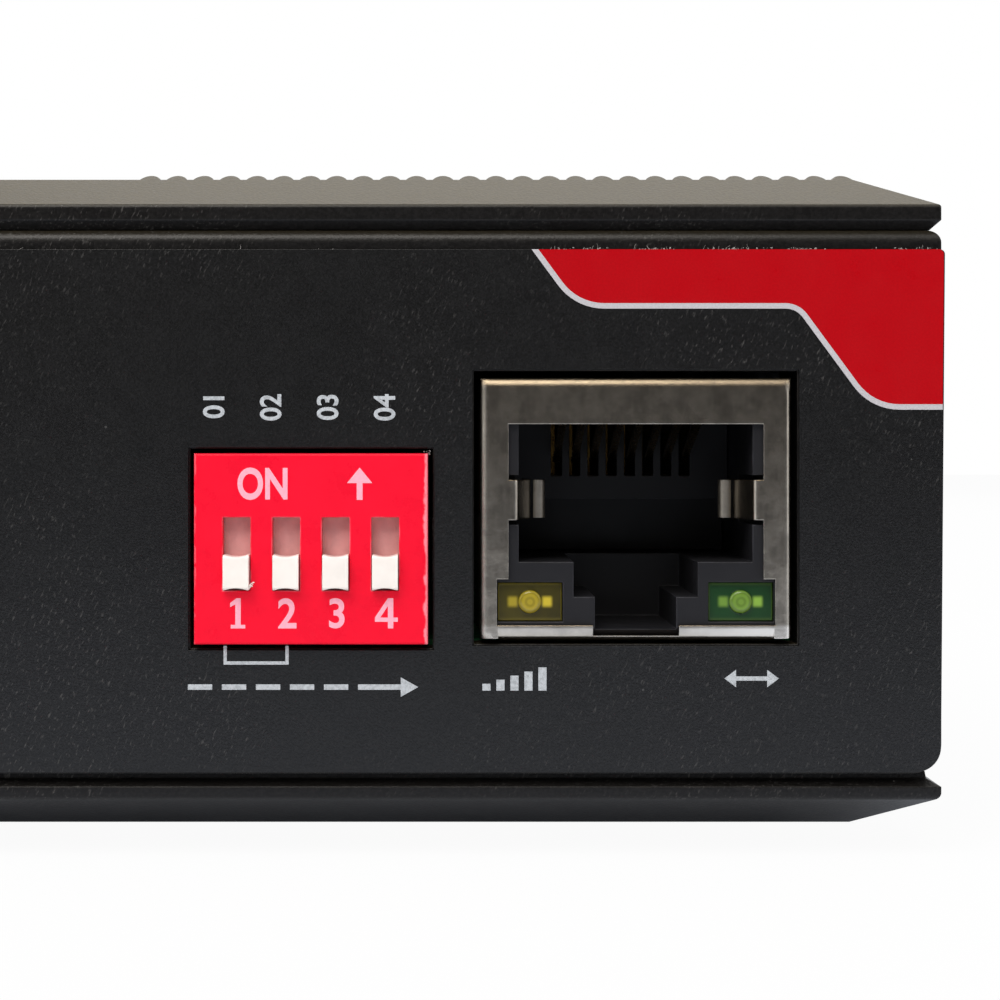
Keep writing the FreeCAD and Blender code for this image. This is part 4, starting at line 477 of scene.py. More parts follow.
def label_film():
    """Matt printed film: a fine even texture, slow mottle and a few specks of dust."""
    overlay = settings().overlay
    made = Finish("label_film", Specular_IOR_Level=0.42)
    grain = made.effect("fine_grain", Size=overlay.film_grain)
    edge = made.effect("soft_edge", Radius=0.03 * MM)
    speckle = made.math("ADD", grain["Speckle"], made.times(grain["Mottle"], 0.25))
    tone = made.shades(made.times(speckle, 0.8), overlay.film, 0.55, 1.5)
    tone = made.tint(tone, made.mask("strokes"), 0.75, (0.065, 0.063, 0.062))
    tone = made.tint(tone, made.mask("dust", Spacing=2.3 * MM, Amount=0.16), 0.22, (0.2, 0.2, 0.2))
    made.colour(made.mix(edge["Wear_and_highlight"], tone, (0.03, 0.03, 0.03)))
    made.roughness(grain["Mottle"], overlay.film_roughness, overlay.film_roughness + 0.02)
    made.relief(grain["Height"], 0.012 * MM, edge["Normal"])
    return made.material


def printed_ink(name, colour, roughness):
    """Screen ink: an even colour with thin spots and the film's own texture."""
    made = Finish(name, Specular_IOR_Level=0.14)
    grain = made.effect("fine_grain", Size=settings().overlay.film_grain)
    made.colour(made.shades(grain["Speckle"], colour, 0.94, 1.04))
    made.roughness(grain["Mottle"], roughness - 0.03, roughness + 0.05)
    made.relief(grain["Height"], 0.005 * MM)
    return made.material


def thin_ink(name, colour, starved=0.72):
    """Ink of fine marks, down to a share of its colour where the screen starved it."""
    made = Finish(name, Roughness=0.5, Specular_IOR_Level=0.3)
    thin = made.ramp(made.noise(made.position, 6.0 / MM, 3.0, 0.6), 0.3, 0.62)
    made.colour(made.shades(thin, colour, starved))
    return made.material


def nickel_sheet():
    """Brushed nickel plate: soft upright streaks and slow clouds, with painted highlights on the
    curled lip and the edges and a painted warm reflection where a fold faces up.
    """
    jack = settings().jack
    low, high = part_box("jack_shield")
    made = Finish("nickel_sheet", Metallic=1.0)
    brushed = made.effect("brushed", Size=0.2 * MM)
    place = made.axes(made.position)
    # the folds at the top and the left are rounder than the punched edges
    top = made.ramp(place["Z"], high.z - 0.8 * MM, high.z - 0.5 * MM)
    left = made.ramp(place["X"], low.x + 0.7 * MM, low.x + 0.45 * MM)
    bend = made.times(made.larger(top, left), 0.45 * MM)
    edge = made.effect("soft_edge", Radius=made.math("ADD", bend, jack.sheet_edge))
    tone = made.shades(brushed["Cloud"], jack.sheet, 0.55)
    tone = made.tint(tone, brushed["Streak"], 0.5, deeper(jack.sheet, 0.8))
    # a painted highlight on the curled lip under the plug's opening, strongest on its right
    lip = low.z + 3.3 * MM
    foot = made.ramp(place["Z"], lip + 0.15 * MM, lip - 0.1 * MM)
    rubbed = made.ramp(place["X"], (low.x + high.x) / 2, high.x, 0.3, 1.0)
    bright = shade(238, 232, 222)
    tone = made.tint(tone, foot, rubbed, bright)
    # the punched edges: wear and a painted highlight
    tone = made.tint(tone, edge["Wear_and_highlight"], 0.4, bright)
    # a painted warm reflection of the light above, where a fold faces up
    fold = made.ramp(made.axes(edge["Normal"])["Z"], 0.02, 0.3)
    tone = made.mix(fold, tone, jack.sheet_fold)
    specks = made.mask("dust", Spacing=1.3 * MM, Amount=0.10)
    made.colour(made.mix(specks, tone, shade(214, 210, 200)))
    made.roughness(brushed["Streak"], jack.sheet_roughness, jack.sheet_roughness + 0.035)
    made.relief(brushed["Cloud"], 0.004 * MM, edge["Normal"])
    return made.material


def moulded(name, colour, roughness=0.45, edge_radius=0.06 * MM, edge_colour=None, shine=0.45):
    """Moulded plastic with a faint texture, softened and a little paler on its edges, for wear and
    a painted edge highlight.
    """
    made = Finish(name, Specular_IOR_Level=shine)
    grain = made.effect("fine_grain", Size=0.14 * MM)
    edge = made.effect("soft_edge", Radius=edge_radius)
    pale = edge_colour or tuple(min(1.0, channel * 1.5 + 0.01) for channel in colour)
    tone = made.mix(edge["Wear_and_highlight"], made.shades(grain["Mottle"], colour, 0.92), pale)
    specks = made.mask("dust", Spacing=1.6 * MM, Amount=0.08)
    made.colour(made.tint(tone, specks, 0.3, (0.4, 0.39, 0.38)))
    made.roughness(grain["Mottle"], roughness - 0.05, roughness + 0.05)
    made.relief(grain["Height"], 0.004 * MM, edge["Normal"])
    return made.material


def darken_inside(material, face, reach, share):
    """Paint shade into a finish: it loses its light with the depth behind a face, down to a share
    of it.
    """
    made = Finish(material)
    recess = made.mask("recess", Face=face, Reach=reach)
    made.colour(made.tint(made.tone(), recess, 1.0 - share, (0.0, 0.0, 0.0)))
    return material


def slider_plastic():
    """White moulded sliders; their plates deep in the slots carry a painted shade, pink from the
    light of the red walls, in patches.
    """
    switch = settings().switch
    knob_depth = 1.36 * MM
    material = moulded("slider_plastic", switch.slider, 0.4, 0.05 * MM)
    made = Finish(material)
    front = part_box("dip_slider_1")[0].y
    # painted shade and reflected red on the plates behind the knobs
    sunken_shade = made.mask("recess", Face=front + knob_depth, Reach=0.01 * MM)
    patch = made.ramp(made.noise(made.position, 0.9 / MM, 3.0, 0.6), 0.3, 0.7)
    made.colour(made.mix(sunken_shade, made.tone(), made.shades(patch, switch.plate, 0.82)))
    return material


def metal(name, colour, roughness):
    """Plated metal with a drawn grain and softened edges."""
    made = Finish(name, Metallic=1.0)
    brushed = made.effect("brushed", Size=0.12 * MM)
    made.colour(made.shades(brushed["Cloud"], colour, 0.8))
    made.roughness(brushed["Streak"], roughness - 0.06, roughness + 0.08)
    edge = made.effect("soft_edge", Radius=0.05 * MM)
    made.relief(brushed["Streak"], 0.0006 * MM, edge["Normal"])
    return made.material


def rubber():
    """Dull rubber with a fine bloom."""
    made = Finish("rubber", Specular_IOR_Level=0.3, Sheen_Weight=0.15)
    grain = made.effect("fine_grain", Size=0.2 * MM)
    made.colour(made.shades(grain["Mottle"], settings().case.rubber, 0.8, 1.4))
    made.roughness(grain["Mottle"], 0.72, 0.86)
    made.relief(grain["Height"], 0.02 * MM)
    return made.material


def lamp_resin(name, block, core, node):
    """Tinted resin with a ringed lens and two lugs behind its face, with painted highlights on the
    lugs and the block's edges, painted shading of the rings and a faint painted glow.
    """
    low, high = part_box(node)
    middle, half = (low + high) / 2, (high - low) / 2
    made = Finish(name, Roughness=0.16, Specular_IOR_Level=0.5, Emission_Strength=0.06)
    face = made.effect("lamp_core", Centre=middle, Radius=0.61 * MM, Wide=half.x, High=half.z)
    tone = made.shades(made.effect("fine_grain", Size=0.5 * MM)["Mottle"], block, 0.45)
    tone = made.tint(tone, face["Rim_highlight"], 0.7, deeper(core, 0.55))
    tone = made.mix(face["Lugs"], tone, tuple(min(1.0, 1.7 * channel) for channel in core))
    made.colour(made.mix(face["Core"], tone, made.shades(face["Rings"], core, 0.72)))
    # a faint painted glow on the lens and the lugs
    glow = made.mix(made.larger(face["Core"], face["Lugs"]), deeper(block, 0.5), core)
    made.feed(made.shader.inputs["Emission Color"], glow)
    made.feed(made.shader.inputs["Normal"], made.effect("soft_edge", Radius=0.1 * MM)["Normal"])
    return made.material


def clear_lens():
    """Clear resin of a round lamp, a little cloudy inside."""
    made = Finish("clear_lens", Roughness=0.12, IOR=1.5, Transmission_Weight=0.75)
    cloud = made.effect("fine_grain", Size=0.4 * MM)["Mottle"]
    made.colour(made.shades(cloud, settings().lamps.lens, 0.9))
    return made.material


def circuit_board():
    """Green lacquer with darker gaps between the tracks and tinned dots."""
    board = settings().board
    made = Finish("circuit_board", Roughness=0.35, Specular_IOR_Level=0.5)
    inputs = {
        "Vector": made.position, "Scale": 0.25 / MM, "Mortar Size": 0.08,
        "Color1": board.track, "Color2": board.track, "Mortar": board.mask,
    }
    tracks = made.node("TexBrick", inputs).outputs["Color"]
    area = made.ramp(made.noise(made.position, 0.08 / MM, 1.0), 0.45, 0.55)
    dots = made.mask("dust", Spacing=2.2 * MM, Amount=0.5)
    made.colour(made.mix(dots, made.mix(area, board.mask, tracks), shade(190, 188, 180)))
    made.relief(made.effect("fine_grain", Size=0.3 * MM)["Height"], 0.01 * MM)
    return made.material


def capacitor_can():
    """Dark printed sleeve with a bare aluminium top."""
    made = Finish("capacitor_can", Roughness=0.35)
    top = made.ramp(made.axes(made.node("NewGeometry").outputs["Normal"])["Z"], 0.8, 0.9)
    mottle = made.effect("fine_grain", Size=0.2 * MM)["Mottle"]
    sleeve = made.shades(mottle, settings().board.sleeve, 0.85, 1.15)
    made.colour(made.mix(top, sleeve, shade(190, 190, 188)))
    made.feed(made.shader.inputs["Metallic"], top)
    return made.material


def dress(material, *nodes):
    """Give carried-over pieces their finish."""
    for name in nodes:
        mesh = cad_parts[name].data
        mesh.materials.clear()
        mesh.materials.append(material)


def dress_pins(name, *nodes):
    """Give carried-over pins and leads a tinned finish."""
    dress(metal(name, settings().fibre_port.pin, 0.3), *nodes)


# Meshes


def added(name, data):
    """A new object of some data, in the scene."""
    made = bpy.data.objects.new(name, data)
    bpy.context.scene.collection.objects.link(made)
    return made


def piece(name, mesh, material, body=CASE):
    """A new piece of the converter from a bmesh, closed and faced outward, riding on a body."""
    bmesh.ops.remove_doubles(mesh, verts=mesh.verts, dist=0.0002 * MM)
    bmesh.ops.recalc_face_normals(mesh, faces=mesh.faces)
    data = bpy.data.meshes.new(name)
    mesh.to_mesh(data)
    mesh.free()
    data.materials.append(material)
    made = added(name, data)
    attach(made, body)
    return made


def upright(x, z, y):
    """Turns a flat mark drawn in X and Y into one that stands on a front face."""
    return Matrix.Translation((x, y, z)) @ Matrix.Rotation(math.pi / 2, 4, "X")


def add_outline(mesh, points, place, height):
    """Add a closed flat shape of the points, given a height, to a bmesh."""
    low = [mesh.verts.new(place @ Vector((x, y, 0.0))) for x, y in points]
    high = [mesh.verts.new(place @ Vector((x, y, height))) for x, y in points]
    mesh.faces.new(high)
    mesh.faces.new(low[::-1])
    for i in range(len(points)):
        j = (i + 1) % len(points)
        mesh.faces.new((low[i], low[j], high[j], high[i]))


def box_points(x0, y0, x1, y1):
    return [(x0, y0), (x1, y0), (x1, y1), (x0, y1)]


class Print:
    """Raised marks on a front face, gathered in one bmesh."""

    def __init__(self, face, height):
        self.mesh, self.face, self.height = bmesh.new(), face, height

    def shape(self, points, x=0.0, z=0.0):
        """Add a closed shape, drawn from a place on the face."""
        add_outline(self.mesh, points, upright(x, z, self.face), self.height)

    def words(self, words, x, z, cap_height, weight, stretch, turn=0.0):
        """Add plain letters or figures, centred over a place, with a cap height and a turn."""
        curve = bpy.data.curves.new("letters", "FONT")
        curve.body = words
        curve.align_x = "CENTER"
        curve.fill_mode = "BOTH"
        curve.size = 1.0
        curve.offset = weight
        curve.resolution_u = 6
        curve.extrude = self.height / 2 / cap_height
        letters = added("letters", curve)
        bpy.context.view_layer.update()
        made = bpy.data.meshes.new_from_object(
            letters.evaluated_get(bpy.context.evaluated_depsgraph_get())
        )
        across, upward, out = zip(*(corner.co for corner in made.vertices))
        size = cap_height / (max(upward) - min(upward))
        scale = Matrix.Diagonal((size * stretch, size, self.height / 2 / max(out), 1.0))
        middle = Matrix.Translation((-(min(across) + max(across)) / 2, -min(upward), max(out)))
        place = upright(x, z, self.face) @ Matrix.Rotation(turn, 4, "Z")
        made.transform(place @ scale @ middle)
        self.mesh.from_mesh(made)
        bpy.data.objects.remove(letters)
        bpy.data.curves.remove(curve)
        bpy.data.meshes.remove(made)


# The case


class CONVERTER_OT_case(bpy.types.Operator):
    """Paint the shells and finish the screws and the feet"""

    bl_idname = "converter.case"
    bl_label = "Case"

    def execute(self, context):
        # the share of dust and painted highlight on faces that look up: most on the lid, less on
        # the ring, little on the base
        dress(painted_steel("painted_steel", 0.8), "top_cover")
        dress(painted_steel("ring_steel", 0.42), "case_body")
        dress(painted_steel("bottom_steel", 0.05), "bottom_cover")
        dress(metal("zinc_plate", settings().case.screw, 0.38), "case_screws")
        dress(rubber(), "rubber_feet")
        return {"FINISHED"}


# The film and what is printed on it


class CONVERTER_OT_overlay(bpy.types.Operator):
    """Finish the film, its corner flash and the line under it"""

    bl_idname = "converter.overlay"
    bl_label = "Film"

    def execute(self, context):
        overlay = settings().overlay
        dress(label_film(), "front_overlay")
        dress(printed_ink("flash_ink", overlay.flash, 0.3), "overlay_red_field")
        dress(printed_ink("line_ink", overlay.line, 0.45), "overlay_grey_line")
        return {"FINISHED"}


def switch_ways():
    """The X of each slider's middle."""
    return [(low.x + high.x) / 2 for low, high in map(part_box, SLIDERS)]


class CONVERTER_OT_legends(bpy.types.Operator):
    """Print the plain figures and signs on the film"""

    bl_idname = "converter.legends"
    bl_label = "Legends"

    def execute(self, context):
        overlay = settings().overlay
        ink = Print(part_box("front_overlay")[0].y, overlay.ink_height)
        self.add_figures(ink)
        self.add_bracket(ink)
        self.add_dashed_arrow(ink)
        self.add_bars(ink)
        self.add_two_way_arrow(ink)
        piece("film_legends", ink.mesh, thin_ink("legend_ink", overlay.legend))
        return {"FINISHED"}

    def add_figures(self, ink):
        """Upended figures over the ways."""
        low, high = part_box("dip_housing")
        spread, cap = 2.93 * MM, 1.12 * MM
        first, middle = low.x + 0.98 * MM + cap / 2, high.z + 2.37 * MM
        for number in range(len(SLIDERS)):
            x = first + spread * number
            ink.words("0%d" % (number + 1), x, middle, cap, 0.02, 0.92, math.pi / 2)

    def add_bracket(self, ink):
        """A bracket that opens upward under the first two ways."""
        ways, low = switch_ways(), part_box("dip_housing")[0]
        left, right, half = ways[0] - 0.62 * MM, ways[1] + 0.02 * MM, 0.085 * MM
        head, foot = low.z - 0.1 * MM, low.z - 0.98 * MM
        ink.shape([
            (left - half, head), (left - half, foot - half), (right + half, foot - half),
            (right + half, head), (right - half, head), (right - half, foot + half),
            (left + half, foot + half), (left + half, head),
        ])

    def add_dashed_arrow(self, ink):
        """Five dashes and an arrow under the switch."""
        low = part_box("dip_housing")[0]
        left, level = low.x - 0.35 * MM, low.z - 2.22 * MM
        dash, step, stem, count = 1.25 * MM, 1.75 * MM, 0.14 * MM, 5
        for number in range(count):
            ink.shape(box_points(0.0, -stem, dash, stem), left + step * number, level)
        neck, tip, side = 2.2 * MM, 3.1 * MM, 0.5 * MM
        arrow = [
            (0.0, -stem), (neck, -stem), (neck, -side), (tip, 0.0), (neck, side), (neck, stem),
            (0.0, stem),
        ]
        ink.shape(arrow, left + step * count, level)

    def add_bars(self, ink):
        """Five bars that rise to the right, under the jack's left side."""
        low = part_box("jack_shield")[0]
        width, step = 0.42 * MM, 0.72 * MM
        for number in range(5):
            head = (0.35 + 0.21 * number) * MM
            ink.shape(box_points(0.0, 0.0, width, head), low.x + 0.1 * MM + step * number, low.z)

    def add_two_way_arrow(self, ink):
        """An arrow with a head at both ends, under the jack's right side."""
        low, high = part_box("jack_shield")
        half, head, side, stem = 1.4 * MM, 0.6 * MM, 0.45 * MM, 0.11 * MM
        neck = half - head
        points = [
            (-half, 0.0), (-neck, -side), (-neck, -stem), (neck, -stem), (neck, -side),
            (half, 0.0), (neck, side), (neck, stem), (-neck, stem), (-neck, side),
        ]
        ink.shape(points, high.x - 2.05 * MM, low.z + 0.62 * MM)


def flake(mesh, centre, size, dice):
    """Add a small closed crumb of dust: a lumpy ring of corners, drawn to a point each way."""
    flatness, turn = dice.uniform(0.3, 0.65), dice.uniform(0, math.pi)
    ring = []
    for corner in range(6):
        way = math.pi * corner / 3
        reach = size * dice.uniform(0.7, 1.15)
        lump = Vector((
            reach * math.cos(way), dice.uniform(-0.1, 0.1) * size,
            reach * flatness * math.sin(way),
        ))
        ring.append(mesh.verts.new(centre + Matrix.Rotation(turn, 3, "Y") @ lump))
    for depth in (-0.4, 0.4):
        tip = mesh.verts.new(centre + Vector((0.0, depth * size, 0.0)))
        for i in range(6):
            mesh.faces.new((ring[i], ring[(i + 1) % 6], tip))


def strand(mesh, root, lean, length, thickness, dice):
    """Add a fine closed thread that stands up from its root."""
    rings = []
    place = root.copy()
    for step in range(4):
        width = thickness * (1.0 - 0.2 * step)
        rings.append([
            mesh.verts.new(place + Vector((x * width, y * width, 0.0)))
            for x, y in ((-0.5, -0.3), (0.5, -0.3), (0.0, 0.5))
        ])
        turn = lean + dice.gauss(0.0, 0.3)
        place += Vector((math.sin(turn), 0.0, math.cos(turn))) * (length / 3)
    for low, high in zip(rings, rings[1:]):
        for i in range(3):
            j = (i + 1) % 3
            mesh.faces.new((low[i], low[j], high[j], high[i]))
    mesh.faces.new(rings[0][::-1])
    mesh.faces.new(rings[-1])


class CONVERTER_OT_lint(bpy.types.Operator):
    """Catch lint along the film's upper edge and at the switch's corner"""

    bl_idname = "converter.lint"
    bl_label = "Lint"

    def execute(self, context):
        dice = random.Random(23)
        low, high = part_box("front_overlay")
        flash_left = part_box("overlay_red_field")[0].x
        clumps, corner_crumbs = 44, 9
        mesh = bmesh.new()
        for clump in range(clumps):
            thick = clump % 2 == 0
            if thick:
                middle = dice.uniform(flash_left, high.x - 0.6 * MM)
            else:
                middle = dice.uniform(low.x + 1 * MM, flash_left)
            self.gather(mesh, Vector((middle, low.y + 0.03 * MM, high.z)), thick, dice)
        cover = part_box("dip_housing")[1]
        for _ in range(corner_crumbs):
            place = Vector((
                cover.x + dice.gauss(0.0, 0.12 * MM), low.y - 0.02 * MM,
                cover.z + dice.gauss(0.06 * MM, 0.07 * MM),
            ))
            flake(mesh, place, dice.uniform(0.02, 0.06) * MM, dice)
        ink = thin_ink("lint", settings().overlay.lint, 0.5)
        piece("film_edge_lint", mesh, ink)
        return {"FINISHED"}

    def gather(self, mesh, middle, thick, dice):
        """One clump of crumbs and threads round a place on the film's edge."""
        low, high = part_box("front_overlay")
        count = dice.randint(3, 9) if thick else dice.randint(1, 3)
        for _ in range(count):
            x = min(high.x - 0.4 * MM, max(low.x + 0.4 * MM, dice.gauss(middle.x, 0.42 * MM)))
            size = dice.uniform(0.02, 0.075 if thick else 0.04) * MM
            rise = dice.uniform(-0.02, 0.08 if thick else 0.02) * MM
            flake(mesh, Vector((x, middle.y, middle.z + rise)), size, dice)
        for _ in range(dice.choice((0, 0, 1, 2) if thick else (0, 0, 0, 1))):
            root = middle + Vector((dice.gauss(0.0, 0.3 * MM), 0.0, 0.0))
            root.x = min(high.x - 0.5 * MM, max(low.x + 0.4 * MM, root.x))
            strand(
                mesh, root, dice.gauss(0.3, 0.6), dice.uniform(0.08, 0.34) * MM,
                dice.uniform(0.02, 0.035) * MM, dice,
            )


# The network jack


class CONVERTER_OT_jack(bpy.types.Operator):
    """Finish the jack's shield, moulding, contacts and lamps"""

    bl_idname = "converter.jack"
    bl_label = "Jack"

    def execute(self, context):
        jack = settings().jack
        dress(nickel_sheet(), "jack_shield")
        mouth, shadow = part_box("jack_housing")[0].y, 4.0 * MM
        insert = moulded("insert_plastic", jack.insert, 0.45, 0.1 * MM, shade(66, 66, 73), 0.28)
        # painted shade deep inside the jack, on the insert and the contacts
        darken_inside(insert, mouth + 0.2 * MM, shadow, 0.6)
        dress(insert, "jack_housing", "jack_contact_carrier")
        gold = metal("gold_plate", jack.contact, 0.25)
        dress(darken_inside(gold, mouth, shadow, 0.5), "jack_contacts")
        for colour, block, core in (
            ("yellow", jack.yellow, jack.yellow_core), ("green", jack.green, jack.green_core),
        ):
            node = "jack_lamp_" + colour
            dress(lamp_resin(colour + "_resin", block, core, node), node)
        dress_pins("tinned_lead", "jack_lamp_leads")
        self.bow_fingers()
        return {"FINISHED"}

    def bow_fingers(self):
        """The rounded bows of the two spring fingers, where they touch a plug's sides."""
        low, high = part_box("jack_shield")
        middle, apart, radius, height = (low.x + high.x) / 2, 4.98 * MM, 0.42 * MM, 1.98 * MM
        foot, back = low.z + 8.81 * MM, low.y + 2.8 * MM
        turns = [math.radians(turn) for turn in range(120, 301, 4)]
        mesh = bmesh.new()
        for side in (-1, 1):
            arc = [(side * radius * math.cos(turn), radius * math.sin(turn)) for turn in turns]
            place = Matrix.Translation((middle + side * apart, back, foot))
            add_outline(mesh, arc, place, height)
        plate = metal("bow_plate", deeper(settings().jack.sheet, 0.62), 0.42)
        bows = piece("finger_bows", mesh, plate)
        bows.data.set_sharp_from_angle(angle=math.radians(35))


# The switch


# the outlines of the figures 1 and 4, at a cap height of one
PLAIN_FIGURES = {
    1: [
        [
            (-0.23, 0.0), (0.25, 0.0), (0.25, 0.12), (0.1, 0.12), (0.1, 1.0), (-0.04, 1.0),
            (-0.25, 0.84), (-0.25, 0.7), (-0.08, 0.8), (-0.08, 0.12), (-0.23, 0.12),
        ],
    ],
    4: [
        box_points(0.05, 0.0, 0.23, 1.0),
        box_points(-0.38, 0.22, 0.05, 0.36),
        box_points(0.23, 0.22, 0.38, 0.36),
        [(-0.38, 0.36), (-0.2, 0.36), (0.05, 0.74), (0.05, 1.0)],
    ],
}


class CONVERTER_OT_switch(bpy.types.Operator):
    """Finish the switch and print its figures"""

    bl_idname = "converter.switch"
    bl_label = "Switch"

    def execute(self, context):
        switch = settings().switch
        cover = moulded("switch_cover", switch.cover, 0.3, 0.13 * MM, switch.rubbed, 0.15)
        self.rub_sides(cover)
        dress(cover, "dip_housing")
        dress(moulded("switch_base", shade(34, 33, 34), 0.5), "dip_base")
        white = slider_plastic()
        dress(white, *SLIDERS)
        dress_pins("switch_pin", "dip_pins")
        self.print_marks()
        self.leave_burr(white)
        return {"FINISHED"}

    def rub_sides(self, material):
        """Paint a pale highlight along the cover's upright edges, wider on the right, fading behind
        the front face.
        """
        low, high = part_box("dip_housing")
        made = Finish(material)
        waver = made.ramp(made.noise(made.position, 1.3 / MM, 3.0, 0.6), 0.3, 0.7, 0.0, 0.16 * MM)
        across = made.math("ADD", made.axes(made.position)["X"], waver)
        right = made.ramp(across, high.x - 0.16 * MM, high.x - 0.02 * MM)
        left = made.times(made.ramp(across, low.x + 0.16 * MM, low.x + 0.1 * MM), 0.35)
        depth = made.mask("recess", Face=low.y, Reach=0.15 * MM)
        shallow = made.math("SUBTRACT", 0.85, depth)
        made.colour(
            made.tint(made.tone(), made.larger(right, left), shallow, settings().switch.rubbed)
        )

    def print_marks(self):
        switch = settings().switch
        low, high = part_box("dip_housing")
        ink = Print(low.y, switch.mark_height)
        cap, feet = 1.55 * MM, low.z + 0.83 * MM
        for number, way in enumerate(switch_ways(), 1):
            middle = way + 0.06 * MM
            if number not in PLAIN_FIGURES:
                ink.words(str(number), middle, feet, cap, 0.02, 0.95)
            for points in PLAIN_FIGURES.get(number, ()):
                ink.shape([(x * cap, y * cap) for x, y in points], middle, feet)
        tall, feet = 1.66 * MM, high.z - 2.38 * MM
        ink.words("ON", low.x + 3.52 * MM, feet, tall, 0.028, 0.76)
        half, stem, neck = 0.65 * MM, 0.15 * MM, tall - 0.8 * MM
        arrow = [
            (-stem, 0.0), (stem, 0.0), (stem, neck), (half, neck), (0.0, tall), (-half, neck),
            (-stem, neck),
        ]
        ink.shape(arrow, high.x - 3.5 * MM, feet)
        piece("switch_marks", ink.mesh, thin_ink("mark_ink", switch.mark, 0.9))

    def leave_burr(self, material):
        """A torn crumb of moulding flash at the first slider's lower right corner."""
        dice = random.Random(5)
        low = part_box("dip_slider_1")[0]
        right, foot = switch_ways()[0] + 0.66 * MM, low.z + 2.1 * MM
        mesh = bmesh.new()
        for step in range(5):
            size = (0.17 - 0.022 * step) * MM
            place = Vector((right + 0.055 * step * MM, low.y + 0.2 * MM, foot + 0.07 * step * MM))
            flake(mesh, place, size, dice)
        piece("slider_burr", mesh, material, "dip_slider_1")


# The fibre port, the status lamps and the inlet


class CONVERTER_OT_fibre_port(bpy.types.Operator):
    """Finish the fibre port's moulding, sleeves, latches, cans and pins"""

    bl_idname = "converter.fibre_port"
    bl_label = "Fibre port"

    def execute(self, context):
        port = settings().fibre_port
        housing = moulded("port_plastic", port.housing, 0.45, 0.12 * MM)
        dress(housing, "optic_housing", "optic_latches")
        dress(moulded("zirconia", port.sleeve, 0.2, 0.05 * MM), "optic_sleeves")
        dress(metal("can_steel", port.can, 0.28), "optic_cans")
        dress_pins("port_pin", "optic_pins")
        return {"FINISHED"}


class CONVERTER_OT_status_lamps(bpy.types.Operator):
    """Finish the status lamps, their holder and their leads"""

    bl_idname = "converter.status_lamps"
    bl_label = "Status lamps"

    def execute(self, context):
        dress(clear_lens(), "status_lamps")
        dress(moulded("lamp_holder", settings().lamps.holder, 0.5), "status_lamp_holder")
        dress_pins("lamp_lead", "status_lamp_leads")
        return {"FINISHED"}


class CONVERTER_OT_inlet(bpy.types.Operator):
    """Finish the current inlet's body, pin and spring"""

    bl_idname = "converter.inlet"
    bl_label = "Inlet"

    def execute(self, context):
        dress(moulded("inlet_plastic", shade(30, 30, 31), 0.5, 0.1 * MM), "inlet_body")
        dress(metal("inlet_metal", shade(206, 202, 194), 0.22), "inlet_pin", "inlet_spring")
        self.seal()
        return {"FINISHED"}

    def seal(self):
        """A folded strip of dark foam tape behind the back wall, over the gap round the inlet: a
        dark piece put there so that the gap shows shade, not the light behind the case.
        """
        low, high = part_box("inlet_body")
        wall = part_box("case_body")[1].y - 2.0 * MM
        fit, thick, drop, deep = 0.02 * MM, 1.0 * MM, 3.0 * MM, 1.2 * MM
        inner = [
            (high.x + fit, high.z - drop), (high.x + fit, high.z + fit),
            (low.x - fit, high.z + fit), (low.x - fit, high.z - drop),
        ]
        outer = [
            (low.x - thick, high.z - drop), (low.x - thick, high.z + thick),
            (high.x + thick, high.z + thick), (high.x + thick, high.z - drop),
        ]
        tape = Print(wall - fit, deep)
        tape.shape(inner + outer)
        piece("inlet_tape", tape.mesh, moulded("foam_tape", shade(30, 30, 32), 0.8))


# The board


class CONVERTER_OT_board(bpy.types.Operator):
    """Finish the board and the parts on it"""

    bl_idname = "converter.board"
    bl_label = "Board"

    def execute(self, context):
        board = settings().board
        package = moulded("chip_moulding", board.package, 0.55)
        dress(circuit_board(), "main_board")
        dress(package, "converter_chip", "voltage_regulator", "isolation_transformer")
        dress(capacitor_can(), "electrolytic_capacitors")
        dress(moulded("ferrite", board.ferrite, 0.5), "power_inductor")
        dress(moulded("ceramic", board.ceramic, 0.4), "small_chip_parts")
        dress(metal("crystal_can", settings().fibre_port.can, 0.25), "clock_crystal")
        dress_pins("chip_lead", "chip_leads", "transformer_leads")
        return {"FINISHED"}


# The stage


def soft_lamp(name, place, size, brightness):
    """A square lamp that looks at the converter."""
    data = bpy.data.lights.new(name, "AREA")
    data.shape = "SQUARE"
    data.size = size
    data.energy = brightness * math.pi * size * size
    data.color = settings().stage.warmth
    made = added(name, data)
    made.location = place
    middle = Vector((0.0, 0.0, 18 * MM))
    made.rotation_euler = (middle - made.location).to_track_quat("-Z", "Y").to_euler()
    made.visible_camera = False


def flat_sheet(name, corners, material):
    """A piece of the stage: one flat face."""
    mesh = bpy.data.meshes.new(name)
    mesh.from_pydata(corners, [], [tuple(range(len(corners)))])
    mesh.materials.append(material)
    made = added(name, mesh)
    return made


